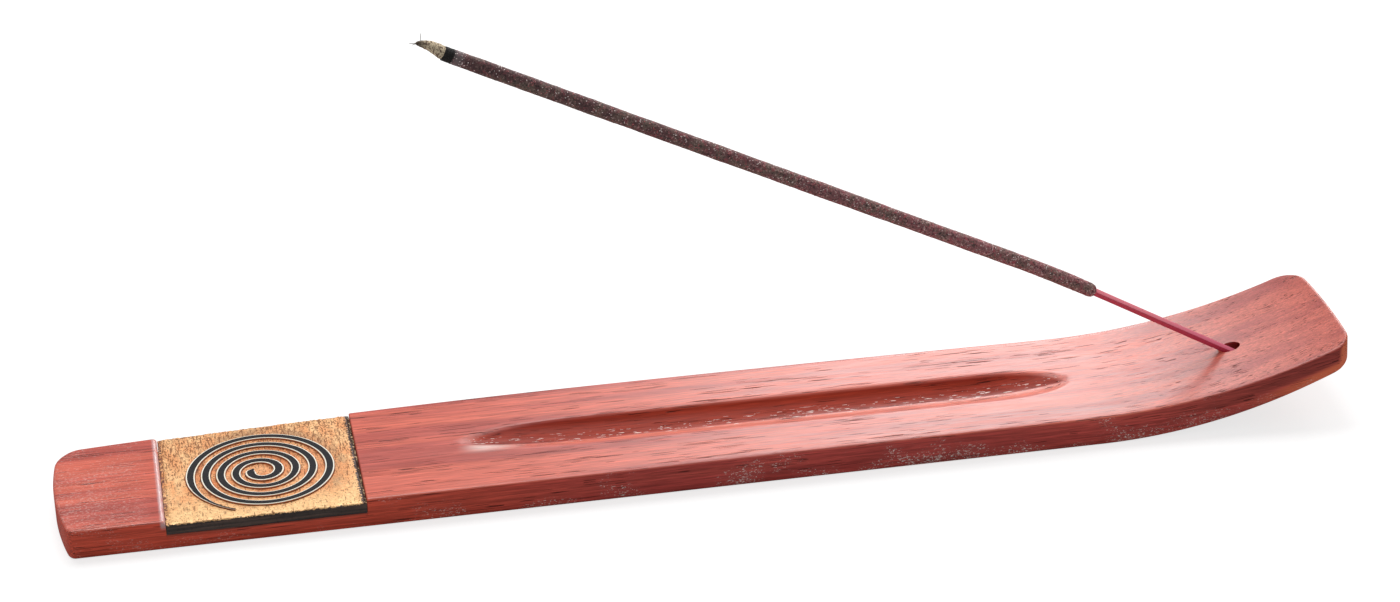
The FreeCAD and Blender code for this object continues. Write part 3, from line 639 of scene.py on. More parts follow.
def board_dust(tree, parts, place, side):
    """Dust on the sawn sides, thicker near the table, and on the top of the tail."""
    amount = fade(tree, height_above_underside(tree, parts), 5.0, 0.5, 0.2, 0.42)
    on_sides = place_group(tree, DUST, {"Place": place, "Cloud size": 9.0, "Amount": amount})["Mask"]
    past_tile = between(tree, parts[0], (*DUST_FROM_X, 0.3, 1.0), (*DUST_UNTIL_X, 1.0, 0.35))
    on_tail = place_group(tree, DUST, {"Place": place, "Cloud size": 13.0, "Amount": 0.6})["Mask"]
    tail = fade(tree, parts[0], SLOT_TAIL_X / MM - 1.0, SLOT_TAIL_X / MM - 6.0)
    top = maths(tree, "SUBTRACT", 1.0, side)
    return maths(tree, "ADD", product(tree, on_sides, side, past_tile, 0.85),
                 product(tree, on_tail, tail, top, 0.22), clamp=True)


print("board wood ready")


# %% Groove and lip
def groove_masks(tree, parts):
    """How deep in the ash groove a place is, how far up the near slope, and its place across."""
    below_top = maths(tree, "SUBTRACT", TOP_Z / MM, parts[2])
    depth = maths(tree, "DIVIDE", below_top, GROOVE_DEPTH / MM, clamp=True)
    across = maths(tree, "SUBTRACT", parts[1], GROOVE_Y / MM)
    beside = fade(tree, maths(tree, "ABSOLUTE", across), 5.4, 6.0, 1.0, 0.0)
    past = fade(tree, parts[0], GROOVE_TAIL_X / MM - 1.0, GROOVE_TAIL_X / MM + 1.0)
    return product(tree, depth, beside, past), fade(tree, across, 0.0, -1.6), across


def paint_groove(tree, tone, parts, place, normal):
    """Oil and painted shade on the far slope, a painted sheen on the near slope, a painted highlight at the
    tail end and flecks of ash. Gives tone, flecks and the oiled and shaded mask.
    """
    tail_x, nose_x = GROOVE_TAIL_X / MM, GROOVE_NOSE_X / MM
    groove, near_slope, across = groove_masks(tree, parts)
    cut = fade(tree, groove, 0.02, 0.3)
    # The groove's far slope is darkened: oil and painted shade.
    oiled_and_shaded = product(tree, cut, fade(tree, near_slope, 0.9, 0.1))
    tone = blend(tree, oiled_and_shaded, tone, GROOVE_OIL_AND_SHADE, "MULTIPLY")
    in_run = between(tree, parts[0], (tail_x - 1.0, tail_x + 1.0), (nose_x + 1.0, nose_x - 1.0))
    # Painted sheen: the near slope that faces back is made paler.
    facing_back = product(tree, fade(tree, normal[1], 0.0, 0.1), fade(tree, normal[2], 0.6, 0.7))
    lit = product(tree, facing_back, fade(tree, across, *GROOVE_PAINTED_SHEEN_ACROSS, 0.2, 0.9), near_slope, in_run)
    tone = blend(tree, lit, tone, GROOVE_PAINTED_SHEEN, "MULTIPLY")
    # Painted highlight: a pale patch on the near slope at the groove's tail end.
    tail = between(tree, parts[0], (tail_x - 1.0, tail_x + 5.0), (tail_x + 14.0, tail_x + 5.0))
    tail_highlight = product(tree, between(tree, across, (-0.4, -1.8), (-4.8, -2.0)), tail, 0.6)
    tone = blend(tree, tail_highlight, tone, DUST_AND_HIGHLIGHT_COLOUR)
    line = product(tree, cut, fade(tree, across, -1.8, -0.8), fade(tree, across, 2.6, 1.0))
    fleck = stretched_noise(tree, place, (2.2, 0.28, 0.28), 2.0, 0.6, (6.0, 4.0, 3.0))
    return tone, product(tree, line, fade(tree, fleck, 0.645, 0.67)), oiled_and_shaded


def lip_highlight(tree, parts, place):
    """Where the lip before the tile gets a painted highlight, patchy by a noise."""
    edge = SLOT_TAIL_X / MM
    along = between(tree, parts[0], (edge - 1.2, edge - 0.6), (edge + 0.1, edge))
    high = fade(tree, parts[2], SLOT_FLOOR_Z / MM + 1.0, TOP_Z / MM - 0.6)
    lip_patches = stretched_noise(tree, place, (1.0, 2.5, 1.0), 3.0, 0.6)
    return product(tree, along, high, fade(tree, lip_patches, 0.3, 0.6, 0.35, 0.9))


print("groove and lip ready")


# %% Board material
def make_board_material():
    """Oiled reddish hardwood with open pores and dusty sawn sides, with painted light and shade in the
    groove and on the nose, and a painted highlight on the lip.
    """
    material, tree, shader, place = new_material("board wood", WOOD_LIGHT)
    parts = split(tree, place)
    normal = split(tree, grow(tree, "ShaderNodeNewGeometry").outputs["Normal"])
    side = fade(tree, maths(tree, "ABSOLUTE", normal[2]), 0.75, 0.45)
    figure = board_figure(tree, parts)
    tone = board_tone(tree, parts, place, normal, side, figure)
    tone, flecks, oiled_and_shaded = paint_groove(tree, tone, parts, place, normal)
    dusty = maths(tree, "MAXIMUM", board_dust(tree, parts, place, side), flecks)
    tone = blend(tree, dusty, tone, DUST_AND_HIGHLIGHT_COLOUR)
    # Painted highlight on the round lip before the tile.
    tone = blend(tree, lip_highlight(tree, parts, place), tone, LIP_HIGHLIGHT_COLOUR)
    rough = maths(tree, "ADD", over_noise(tree, figure["Streaks"], 0.3, 0.4), product(tree, side, 0.25))
    matt = maths(tree, "MAXIMUM", product(tree, dusty, 0.3), product(tree, figure["Pores"], 0.5))
    paint(tree, shader, tone, maths(tree, "ADD", rough, matt, clamp=True))
    low = maths(tree, "SUBTRACT", product(tree, figure["Streaks"], 0.25), figure["Pores"])
    bump(tree, shader, low, 0.05 * MM, 0.5)
    dull = maths(tree, "MAXIMUM", oiled_and_shaded, product(tree, side, 0.75))
    wire(tree, fade(tree, dull, 0.0, 1.0, 0.5, 0.08), shader.inputs["Specular IOR Level"])
    return material


BOARD_WOOD = make_board_material()
print("material:", BOARD_WOOD.name)

# %% [markdown]
# ## The stick's line and the slanted hole
# The stick leans at the slope of the hole, straight for a stretch, then sags a little. Its line starts at
# the splint's lower end, which the frame gives, and everything on the stick is placed by the distance
# along it. A drill with the same slope cuts the hole in the board.

# %% Stick line
STICK_SLOPE = math.radians(29.7)
SAG_ANGLE = math.radians(3.5)
SAG_RADIUS = 300.0 * MM
BARE_LENGTH = 37.9 * MM
SAG_START = BARE_LENGTH + 1.7 * MM
SAG_END = SAG_START + SAG_RADIUS * SAG_ANGLE
CHAR_START = SAG_END + 120.3 * MM
ASH_START = CHAR_START + 1.6 * MM
ASH_END = ASH_START + 5.4 * MM
CORE_HALF = 0.7 * MM
CORE_LOW, CORE_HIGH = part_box("stick_core")
STICK_FOOT = Vector((CORE_HIGH.x - CORE_HALF * math.sin(STICK_SLOPE), (CORE_LOW.y + CORE_HIGH.y) / 2,
                     CORE_LOW.z + CORE_HALF * math.cos(STICK_SLOPE)))


def stick_way(distance):
    """The slope of the stick at a distance along it, and its place there."""
    straight = min(distance, SAG_START)
    bent = min(max(distance - SAG_START, 0.0), SAG_END - SAG_START)
    rest = max(distance - SAG_END, 0.0)
    slope = STICK_SLOPE - bent / SAG_RADIUS
    x = -straight * math.cos(STICK_SLOPE) - SAG_RADIUS * (math.sin(STICK_SLOPE) - math.sin(slope))
    z = straight * math.sin(STICK_SLOPE) + SAG_RADIUS * (math.cos(slope) - math.cos(STICK_SLOPE))
    x -= rest * math.cos(slope)
    z += rest * math.sin(slope)
    return slope, STICK_FOOT + Vector((x, 0.0, z))


HOLE_RADIUS = 1.6 * MM
HOLE_OFFSET = 0.7 * MM
HOLE_SIDES = 48
HOLE_PAST_FOOT = 0.05 * MM
DRILL_LENGTH = 14.0 * MM


def drill():
    """A plain round cutter along the hole."""
    along = Vector((-math.cos(STICK_SLOPE), 0.0, math.sin(STICK_SLOPE)))
    up = Vector((math.sin(STICK_SLOPE), 0.0, math.cos(STICK_SLOPE)))
    across = Vector((0.0, 1.0, 0.0))
    start = STICK_FOOT - along * HOLE_PAST_FOOT + up * HOLE_OFFSET
    points, faces = [], []
    for end in (start, start + along * DRILL_LENGTH):
        for step in range(HOLE_SIDES):
            turn = 2 * math.pi * step / HOLE_SIDES
            points.append(end + (up * math.cos(turn) + across * math.sin(turn)) * HOLE_RADIUS)
    for step in range(HOLE_SIDES):
        after = (step + 1) % HOLE_SIDES
        faces.append((step, after, after + HOLE_SIDES, step + HOLE_SIDES))
    faces.append(tuple(range(HOLE_SIDES - 1, -1, -1)))
    faces.append(tuple(range(HOLE_SIDES, 2 * HOLE_SIDES)))
    return new_piece("drill", points, faces, BOARD_WOOD)


def baked(piece):
    """Replace a piece's mesh by what its modifiers make of it."""
    graph = bpy.context.evaluated_depsgraph_get()
    mesh = bpy.data.meshes.new_from_object(piece.evaluated_get(graph))
    piece.modifiers.clear()
    piece.data = mesh
    return piece


board = new_piece("board", board_points, board_faces, BOARD_WOOD)
cutter = drill()
bore = board.modifiers.new("hole", "BOOLEAN")
bore.operation = "DIFFERENCE"
bore.solver = "EXACT"
bore.object = cutter
baked(board)
bpy.data.objects.remove(cutter)
dress(board, BOARD_WOOD, sharp=38.0)
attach(board, "board")
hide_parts("base_board")
print("board with its hole:", len(board.data.polygons), "faces")

# %% [markdown]
# ## The carved tile
# The tile is a thin block of dark-stained wood with a gilded ground. A gouge has left the ground
# rough, its edges are ragged where the gilding breaks off, and the front edge is sawn flush. It is a
# slab again, with a random but fixed roughness pushed into its top.

# %% Tile block
TILE_LOW, TILE_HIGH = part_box("spiral_tile")
GROUND_Z = 5.5 * MM
TILE_COLUMNS, TILE_ROWS = 150, 130
GROUND_ROUGHNESS = 0.05 * MM
GOUGE_FINE, GOUGE_COARSE = 0.5 * MM, 2.2 * MM
GOUGE_STRETCH = 0.45
EDGE_RAG, RAG_SIZE, RAG_CELLS = 0.35 * MM, 0.7 * MM, 2
EDGE_INSET, EDGE_DROP = 0.12 * MM, 0.2 * MM
FILLER_DROP, FILLER_GAP = 0.3 * MM, 0.1 * MM
GAP_TAIL = TILE_LOW.x - SLOT_TAIL_X - FILLER_GAP
GAP_NOSE = SLOT_NOSE_X - TILE_HIGH.x - FILLER_GAP


def tile_plate(z, inset=0.0, rough=0.0, spread=0.0):
    """One plate of the tile, gouged and ragged if rough. A spread fills the slot with glue and dust."""
    tail_x = TILE_LOW.x + inset - spread * GAP_TAIL
    nose_x = TILE_HIGH.x - inset + spread * GAP_NOSE
    share = np.linspace(0.0, 1.0, TILE_ROWS + 1)
    x = np.repeat(np.linspace(tail_x, nose_x, TILE_COLUMNS + 1)[:, None], TILE_ROWS + 1, axis=1)
    front, back = FRONT_Y + inset, back_edge(x) - inset
    y = front + (back - front) * share
    plate = np.stack([x, y, np.full_like(x, z)], axis=-1)
    if rough == 0.0:
        return plate
    for i in range(TILE_COLUMNS + 1):
        for j in range(TILE_ROWS + 1):
            spot = plate[i, j]
            flat = (spot[0], spot[1] * GOUGE_STRETCH, 0.0)
            lift = wobble(flat, GOUGE_FINE, rough, 3.0) + wobble(flat, GOUGE_COARSE, rough, 11.0)
            edge = min(i, j, TILE_COLUMNS - i, TILE_ROWS - j)
            if edge < RAG_CELLS:
                lift -= abs(wobble(spot, RAG_SIZE, EDGE_RAG, 23.0)) * (RAG_CELLS - edge) / RAG_CELLS
            plate[i, j, 2] += lift
    return plate


TILE_STACK = [tile_plate(GROUND_Z, EDGE_INSET, GROUND_ROUGHNESS), tile_plate(GROUND_Z - EDGE_DROP),
              tile_plate(GROUND_Z - FILLER_DROP, spread=1.0), tile_plate(TILE_LOW.z, spread=1.0)]
tile_points, tile_faces = slab(TILE_STACK)
print("tile:", len(tile_faces), "faces")

# %% [markdown]
# The gilding is tan and gold, paler near the front and more orange between the turns, with brown
# specks and ticks from the gouge. Below the ragged edge the stained wood is nearly black.

# %% Tile colours
SPIRAL_X, SPIRAL_Y = -88.01 * MM, -1.96 * MM
GOLD = (0.78, 0.34, 0.125)
GOLD_PALE = (0.86, 0.5, 0.23)
GOLD_FRONT = (0.9, 0.58, 0.27)
GOLD_DEEP = (0.58, 0.17, 0.045)
STAIN = (0.2, 0.075, 0.025)
TICK = (0.24, 0.09, 0.03)
TILE_BLACK = (0.032, 0.02, 0.016)
TILE_SAWN = (0.1, 0.06, 0.045)
# Painted shade along the tile's nose edge, where it meets the board.
CREVICE_SHADE = (0.04, 0.016, 0.01)
FILLER_DARK, FILLER_LIGHT = (0.09, 0.03, 0.02), (0.42, 0.16, 0.09)
CHIP = (0.8, 0.6, 0.34)
TILE_PORES = {"Pore length": 2.0, "Pore width": 0.15, "Pore share": 0.62}
TURNS_REACH = (15.0, 12.0)
RING_INNER, RING_OUTER = (13.2, 14.6), (17.5, 14.8)
RING_CORNER = (-6.0, 12.0)
FRONT_PALE_Y = (-8.0, -15.0)
REAR_MARKS_Y = (-12.0, 12.0)
MARK_LEVEL = (0.58, 0.68)
print("tile colours:", GOLD, TILE_BLACK)


# %% Tile material
def tile_ground(tree, parts, place):
    """Gilding, orange between the turns and stained around them. Gives tone, marks and patches."""
    off_x = maths(tree, "SUBTRACT", parts[0], SPIRAL_X / MM)
    off_y = maths(tree, "SUBTRACT", parts[1], SPIRAL_Y / MM)
    reach = maths(tree, "SQRT", maths(tree, "ADD", product(tree, off_x, off_x), product(tree, off_y, off_y)))
    patches = stretched_noise(tree, place, (2.4, 5.0, 2.0), 3.0, 0.6)
    tone = blend(tree, fade(tree, patches, 0.35, 0.65), GOLD, GOLD_PALE)
    turns = product(tree, fade(tree, reach, *TURNS_REACH), fade(tree, patches, 0.2, 0.7, 0.9, 0.35))
    tone = blend(tree, turns, tone, GOLD_DEEP)
    tone = blend(tree, fade(tree, parts[1], *FRONT_PALE_Y, 0.0, 0.7), tone, GOLD_FRONT)
    ring = between(tree, reach, RING_INNER, RING_OUTER)
    corner = fade(tree, maths(tree, "ADD", off_x, off_y), *RING_CORNER)
    ring = product(tree, ring, corner, fade(tree, patches, 0.35, 0.6, 0.15, 0.55))
    tone = blend(tree, ring, tone, STAIN)
    speck = stretched_noise(tree, place, (0.28, 0.55, 0.3), 2.0, 0.6)
    ticks = stretched_noise(tree, place, (0.35, 2.2, 0.5), 2.0, 0.6, (3.0, 8.0, 2.0))
    rear = fade(tree, parts[1], *REAR_MARKS_Y, -0.01, 0.06)
    marks = maths(tree, "MAXIMUM", fade(tree, maths(tree, "ADD", speck, rear), *MARK_LEVEL),
                  fade(tree, maths(tree, "ADD", ticks, rear), *MARK_LEVEL))
    mottle = stretched_noise(tree, place, (0.9, 0.5, 0.5), 3.0, 0.7, (2.0, 2.0, 6.0))
    tone = blend(tree, 1.0, tone, fade(tree, mottle, 0.35, 0.65, 0.85, 1.2), "MULTIPLY")
    return blend(tree, product(tree, marks, 0.85), tone, TICK), marks, patches


def tile_edge(tree, parts, place):
    """Stained wood below the gilding, with filler on the tail side and chips on the nose side."""
    figure = place_group(tree, FIGURE, {"Place": place, **TILE_PORES})
    dark = blend(tree, fade(tree, figure["Streaks"], 0.42, 0.66), TILE_BLACK, TILE_SAWN)
    grit = stretched_noise(tree, place, (0.5, 0.5, 0.5), 3.0, 0.7, (2.0, 5.0, 7.0))
    filler = blend(tree, fade(tree, grit, 0.42, 0.62), FILLER_DARK, FILLER_LIGHT)
    chips = blend(tree, fade(tree, grit, 0.46, 0.54), TILE_BLACK, CHIP)
    inner = fade(tree, parts[1], FRONT_Y / MM + 0.25, FRONT_Y / MM + 0.4)
    tail_side = product(tree, fade(tree, parts[0], TILE_LOW.x / MM + 0.1, TILE_LOW.x / MM), inner)
    nose_side = product(tree, fade(tree, parts[0], TILE_HIGH.x / MM - 0.1, TILE_HIGH.x / MM), inner)
    return blend(tree, nose_side, blend(tree, tail_side, dark, filler), chips)


def make_tile_material():
    """Gilded ground over black-stained wood, with painted shade along the edge where the tile meets the
    board.
    """
    material, tree, shader, place = new_material("gilded tile", GOLD)
    parts = split(tree, place)
    tone, marks, patches = tile_ground(tree, parts, place)
    ragged = stretched_noise(tree, place, (0.5, 0.5, 0.5), 2.0, 0.6, (1.0, 6.0, 4.0))
    to_nose = maths(tree, "SUBTRACT", TILE_HIGH.x / MM, parts[0])
    # Painted shade along the nose edge, where the tile meets the board's slot.
    crevice_shade = fade(tree, maths(tree, "ADD", to_nose, over_noise(tree, ragged, -0.3, 0.3)), 0.6, 0.4)
    tone = blend(tree, crevice_shade, tone, CREVICE_SHADE)
    edge_z = over_noise(tree, ragged, GROUND_Z / MM - 0.42, GROUND_Z / MM - 0.1)
    gilded = fade(tree, maths(tree, "SUBTRACT", parts[2], edge_z), -0.04, 0.04)
    tone = blend(tree, gilded, tile_edge(tree, parts, place), tone)
    paint(tree, shader, tone, fade(tree, marks, 0.0, 1.0, 0.5, 0.75))
    wire(tree, product(tree, gilded, 0.25), shader.inputs["Metallic"])
    bump(tree, shader, maths(tree, "SUBTRACT", product(tree, patches, 0.4), marks), 0.06 * MM, 0.7)
    return material


GILDED_TILE = make_tile_material()
tile = new_piece("tile", tile_points, tile_faces, GILDED_TILE, sharp=50.0)
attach(tile, "board")
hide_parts("spiral_tile")
print("tile placed")

# %% [markdown]
# ## The spiral ridge
# The carver left a spiral standing and rubbed black on its crest, and the knife bared pale wood along
# both edges. The line follows a rule, so Geometry Nodes draw it: a row of points is wound into a
# spiral whose centre drifts a little, and a section is swept along it. Carving it out of the tile's own
# mesh would need a far finer grid for the same clean edges.


# %% Geometry node helpers
def new_geometry_tree(name, inputs):
    """An empty geometry tree with named inputs."""
    tree = bpy.data.node_groups.new(name, "GeometryNodeTree")
    tree.interface.new_socket("Geometry", in_out="INPUT", socket_type="NodeSocketGeometry")
    for label, kind in inputs.items():
        tree.interface.new_socket(label, in_out="INPUT", socket_type=f"NodeSocket{kind}")
    tree.interface.new_socket("Geometry", in_out="OUTPUT", socket_type="NodeSocketGeometry")
    return tree, tree.nodes.new("NodeGroupInput").outputs, tree.nodes.new("NodeGroupOutput").inputs[0]


def run_tree(name, tree, values, mesh=None):
    """Make a piece by a geometry tree, with its inputs set by identifier, and bake it to a mesh."""
    piece = bpy.data.objects.new(name, mesh or bpy.data.meshes.new(name))
    bpy.context.scene.collection.objects.link(piece)
    modifier = piece.modifiers.new(name, "NODES")
    modifier.node_group = tree
    for item in tree.interface.items_tree:
        if item.in_out == "INPUT" and item.name in values:
            modifier[item.identifier] = values[item.name]
    piece.update_tag()
    bpy.context.view_layer.update()
    return baked(piece)


def finish_tree(tree, geometry, material, out):
    """Realize instances and set the material, as every tree here ends."""
    solid = grow(tree, "GeometryNodeRealizeInstances", {0: geometry}).outputs[0]
    wire(tree, grow(tree, "GeometryNodeSetMaterial", {0: solid, "Material": material}).outputs[0], out)


print("geometry node helpers ready")

# %% Spiral tree
SPIRAL_POINTS = 900
SPIRAL_FIRST_TURN = -3.8
SPIRAL_LAST_TURN = 23.1
TAPER_IN, TAPER_OUT = (0.0, 0.025, 0.3, 1.0), (1.0, 0.955, 0.2, 1.0)
INNER_SWELL = (0.08, 0.3, 1.18, 1.0)
SPIRAL_SWAY = 0.1
THIN_LIFT = 0.42


def make_spiral_tree():
    """A swept section along an oval spiral with a drifting centre."""
    tree, given, out = new_geometry_tree("spiral", {
        "Centre": "Vector", "Start radius": "Float", "Pitch": "Float", "Drift": "Float", "Oval": "Float",
        "Crest width": "Float", "Foot width": "Float", "Height": "Float", "Corner": "Float",
        "Material": "Material"})
    line = grow(tree, "GeometryNodeMeshLine", {"Count": SPIRAL_POINTS}).outputs[0]
    number = grow(tree, "GeometryNodeInputIndex").outputs[0]
    share = maths(tree, "DIVIDE", number, SPIRAL_POINTS - 1.0)
    wound_by = product(tree, share, SPIRAL_LAST_TURN - SPIRAL_FIRST_TURN)
    turn = maths(tree, "ADD", wound_by, SPIRAL_FIRST_TURN)
    laps = maths(tree, "DIVIDE", turn, 2 * math.pi)
    reach = maths(tree, "ADD", given["Start radius"], product(tree, given["Pitch"], laps))
    wide = product(tree, reach, maths(tree, "ADD", 1.0, given["Oval"]))
    tall = product(tree, reach, maths(tree, "SUBTRACT", 1.0, given["Oval"]))
    x = product(tree, wide, maths(tree, "COSINE", turn))
    x = maths(tree, "ADD", x, product(tree, given["Drift"], laps))
    y = product(tree, tall, maths(tree, "SINE", turn))
    tapers = between(tree, share, TAPER_IN, TAPER_OUT)
    twice = maths(tree, "COSINE", product(tree, turn, 2.0))
    sway = maths(tree, "ADD", 1.0, product(tree, SPIRAL_SWAY, twice))
    width = product(tree, tapers, product(tree, fade(tree, share, *INNER_SWELL), sway))
    lift = product(tree, maths(tree, "SUBTRACT", 1.0, width), product(tree, given["Height"], THIN_LIFT))
    spot = grow(tree, "ShaderNodeCombineXYZ", {0: x, 1: y, 2: lift}).outputs[0]
    spot = grow(tree, "ShaderNodeVectorMath", {0: spot, 1: given["Centre"]}, operation="ADD").outputs[0]
    wound = grow(tree, "GeometryNodeSetPosition", {"Geometry": line, "Position": spot}).outputs[0]
    curve = grow(tree, "GeometryNodeMeshToCurve", {0: wound}).outputs[0]
    upright = grow(tree, "GeometryNodeSetCurveNormal", {0: curve}, mode="Z_UP").outputs[0]
    widths = {"Height": given["Height"], "Bottom Width": given["Crest width"],
              "Top Width": given["Foot width"], "Offset": 0.0}
    section = grow(tree, "GeometryNodeCurvePrimitiveQuadrilateral", widths, mode="TRAPEZOID").outputs[0]
    eased = grow(tree, "GeometryNodeFilletCurve", {"Curve": section, "Radius": given["Corner"]}).outputs[0]
    sweep = {"Curve": upright, "Profile Curve": eased, "Scale": width, "Fill Caps": True}
    swept = grow(tree, "GeometryNodeCurveToMesh", sweep).outputs[0]
    finish_tree(tree, swept, given["Material"], out)
    return tree


SPIRAL_TREE = make_spiral_tree()
print("spiral rule:", SPIRAL_POINTS, "points")

# %% [markdown]
# Three sweeps of that line make the carving. The crest is inked black and matt. A wider step just
# below it is the pale wood that the knife bared along both edges; its flank is brown, as stain and
# painted shade. The lowest and widest is a dark strip along the ridge's foot where the gouge ran, partly
# stain and partly painted shade.

# %% Spiral materials
CREST_Z = TILE_HIGH.z
INK, INK_WORN = (0.012, 0.012, 0.015), (0.035, 0.032, 0.035)
BARE_WOOD, BARE_WOOD_TAN = (1.0, 0.97, 0.86), (0.95, 0.82, 0.6)
# Brown of the gouge's stain, which also stands for painted shade along the ridge's foot.
GOUGE_BROWN_AND_SHADE = (0.14, 0.045, 0.018)


def make_carved_material(name, tone_a, tone_b, roughness, gloss, wall_z=0.0):
    """A finish of two tones, grained across the spiral's width, and brown below a height: stain and painted
    shade on the flank.
    """
    material, tree, shader, place = new_material(name, tone_a)
    grain = stretched_noise(tree, place, (0.4, 1.2, 0.4), 3.0, 0.6)
    tone = blend(tree, fade(tree, grain, 0.4, 0.72), tone_a, tone_b)
    # Below a height the flank turns brown: stain and painted shade.
    stained_shaded_flank = fade(tree, split(tree, place)[2], wall_z / MM, wall_z / MM - 0.05)
    rough = over_noise(tree, grain, roughness - 0.1, roughness + 0.1)
    paint(tree, shader, blend(tree, stained_shaded_flank, tone, GOLD_DEEP), rough)
    shader.inputs["Specular IOR Level"].default_value = gloss
    bump(tree, shader, grain, 0.03 * MM, 0.6)
    return material


print("crest at", round(CREST_Z / MM, 2), "mm")

# %% Spiral pieces
SPIRAL_SHAPE = {"Start radius": 3.288 * MM, "Pitch": 2.998 * MM, "Drift": 0.192 * MM, "Oval": 0.02,
                "Corner": 0.04 * MM}
STEP_Z = CREST_Z - 0.05 * MM
STEP_WALL_Z = STEP_Z - 0.06 * MM
FOOT_Z = CREST_Z - 0.62 * MM
GOUGE_TOP_Z = GROUND_Z + 0.05 * MM
GOUGE_HEIGHT = 0.24 * MM
RIDGE_WIDTHS = (1.12 * MM, 1.2 * MM)
STEP_WIDTHS = (1.56 * MM, 1.62 * MM)
GOUGE_WIDTHS = (1.8 * MM, 2.2 * MM)


def spiral_piece(name, material, top_z, height, widths):
    """One sweep of the spiral, riding on the board. Its widths are those of its crest and its foot."""
    values = {**SPIRAL_SHAPE, "Centre": (SPIRAL_X, SPIRAL_Y, top_z - height / 2), "Height": height,
              "Crest width": widths[0], "Foot width": widths[1], "Material": material}
    piece = dress(run_tree(name, SPIRAL_TREE, values), material, sharp=40.0)
    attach(piece, "board")
    return piece


ink = make_carved_material("ridge ink", INK, INK_WORN, 0.75, 0.2)
bare_wood = make_carved_material("bare wood", BARE_WOOD, BARE_WOOD_TAN, 0.45, 0.5, STEP_WALL_Z)
stain_and_shade = make_carved_material("gouge stain", GOUGE_BROWN_AND_SHADE, GOLD_DEEP, 0.7, 0.2)
ridge = spiral_piece("spiral_ridge", ink, CREST_Z, CREST_Z - FOOT_Z, RIDGE_WIDTHS)
step = spiral_piece("spiral_step", bare_wood, STEP_Z, STEP_Z - FOOT_Z, STEP_WIDTHS)
# The dark strip along the ridge's foot: stain and painted shade.
gouge = spiral_piece("spiral_gouge", stain_and_shade, GOUGE_TOP_Z, GOUGE_HEIGHT, GOUGE_WIDTHS)
print("spiral:", [len(piece.data.polygons) for piece in (ridge, step, gouge)], "faces")

# %% [markdown]
# ## The glue under the tile
# The film of glue stays as the CAD has it. Dried wood glue is yellowish and a little uneven.

# %% Glue material
GLUE, GLUE_PALE, GLUE_BROWN = (0.62, 0.52, 0.36), (0.66, 0.56, 0.38), (0.5, 0.38, 0.22)


def make_glue_material():
    """Dried wood glue."""
    material, tree, shader, place = new_material("dried glue", GLUE)
    patches = stretched_noise(tree, place, (3.0, 3.0, 3.0), 2.0)
    paint(tree, shader, blend(tree, patches, GLUE_PALE, GLUE_BROWN), over_noise(tree, patches, 0.3, 0.5))
    return material


glue_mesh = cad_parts["tile_glue_bed"].data
glue_mesh.materials.clear()
glue_mesh.materials.append(make_glue_material())
print("glue bed dressed")

# %% [markdown]
# ## The incense stick
# A hand-rolled stick is a split bamboo splint with a paste of wood powder rolled onto it. Its sleeve, its
# charred band and its ash are all sweeps along the stick's line, so one geometry tree makes them: it takes
# a row of points, gives each place a radius from the two ends and a noise, sweeps a section and pushes the
# skin in and out. The splint uses the same tree with a square section.

# %% Sleeve tree
SLEEVE_DEFAULTS = {
    "Radius": 1.0 * MM, "Squareness": False, "Roll": 0.0, "Roundness": 1.0, "Step": 0.25 * MM,
    "Start scale": 1.0, "End scale": 1.0, "Start run": 1.0 * MM, "End run": 1.0 * MM,
    "Swell": 0.0, "Swell size": 6.0 * MM, "Skin": 0.0, "Skin size": 0.6 * MM, "Seed": 1.0}
SLEEVE_SIDES = 28
SQUARE_CORNER, SQUARE_STEPS = 0.28, 4


def end_scale(tree, given, distance, run, scale):
    """How far a sleeve is drawn in at a distance from one end: a cone, an arc or between."""
    share = maths(tree, "DIVIDE", distance, run, clamp=True)
    away = maths(tree, "SUBTRACT", 1.0, share)
    arc = maths(tree, "SQRT", maths(tree, "SUBTRACT", 1.0, product(tree, away, away), clamp=True))
    bulge = product(tree, given["Roundness"], maths(tree, "SUBTRACT", arc, share))
    shape = maths(tree, "ADD", share, bulge)
    return maths(tree, "ADD", scale, product(tree, shape, maths(tree, "SUBTRACT", 1.0, scale)))


def seeded_noise(tree, given, size, detail, rough):
    """Noise around zero in space, with features of a size and a pattern for each seed."""
    spot = grow(tree, "GeometryNodeInputPosition").outputs[0]
    inputs = {"Vector": spot, "W": given["Seed"], "Detail": detail, "Roughness": rough,
              "Scale": maths(tree, "DIVIDE", 1.0, size)}
    level = grow(tree, "ShaderNodeTexNoise", inputs, noise_dimensions="4D").outputs[0]
    return maths(tree, "SUBTRACT", level, 0.5)


def sleeve_section(tree, given):
    """A circle, or a square with rounded corners and a roll."""
    circle = {"Resolution": SLEEVE_SIDES, "Radius": 1.0}
    round_section = grow(tree, "GeometryNodeCurvePrimitiveCircle", circle).outputs[0]
    sides = {"Width": 2.0, "Height": 2.0}
    square = grow(tree, "GeometryNodeCurvePrimitiveQuadrilateral", sides).outputs[0]
    corners = {"Curve": square, "Radius": SQUARE_CORNER, "Count": SQUARE_STEPS}
    square = grow(tree, "GeometryNodeFilletCurve", corners, mode="POLY").outputs[0]
    turn = grow(tree, "ShaderNodeCombineXYZ", {2: given["Roll"]}).outputs[0]
    turn = grow(tree, "FunctionNodeEulerToRotation", {0: turn}).outputs[0]
    square = grow(tree, "GeometryNodeTransform", {"Geometry": square, "Rotation": turn}).outputs[0]
    choice = {"Switch": given["Squareness"], "False": round_section, "True": square}
    return grow(tree, "GeometryNodeSwitch", choice, input_type="GEOMETRY").outputs[0]


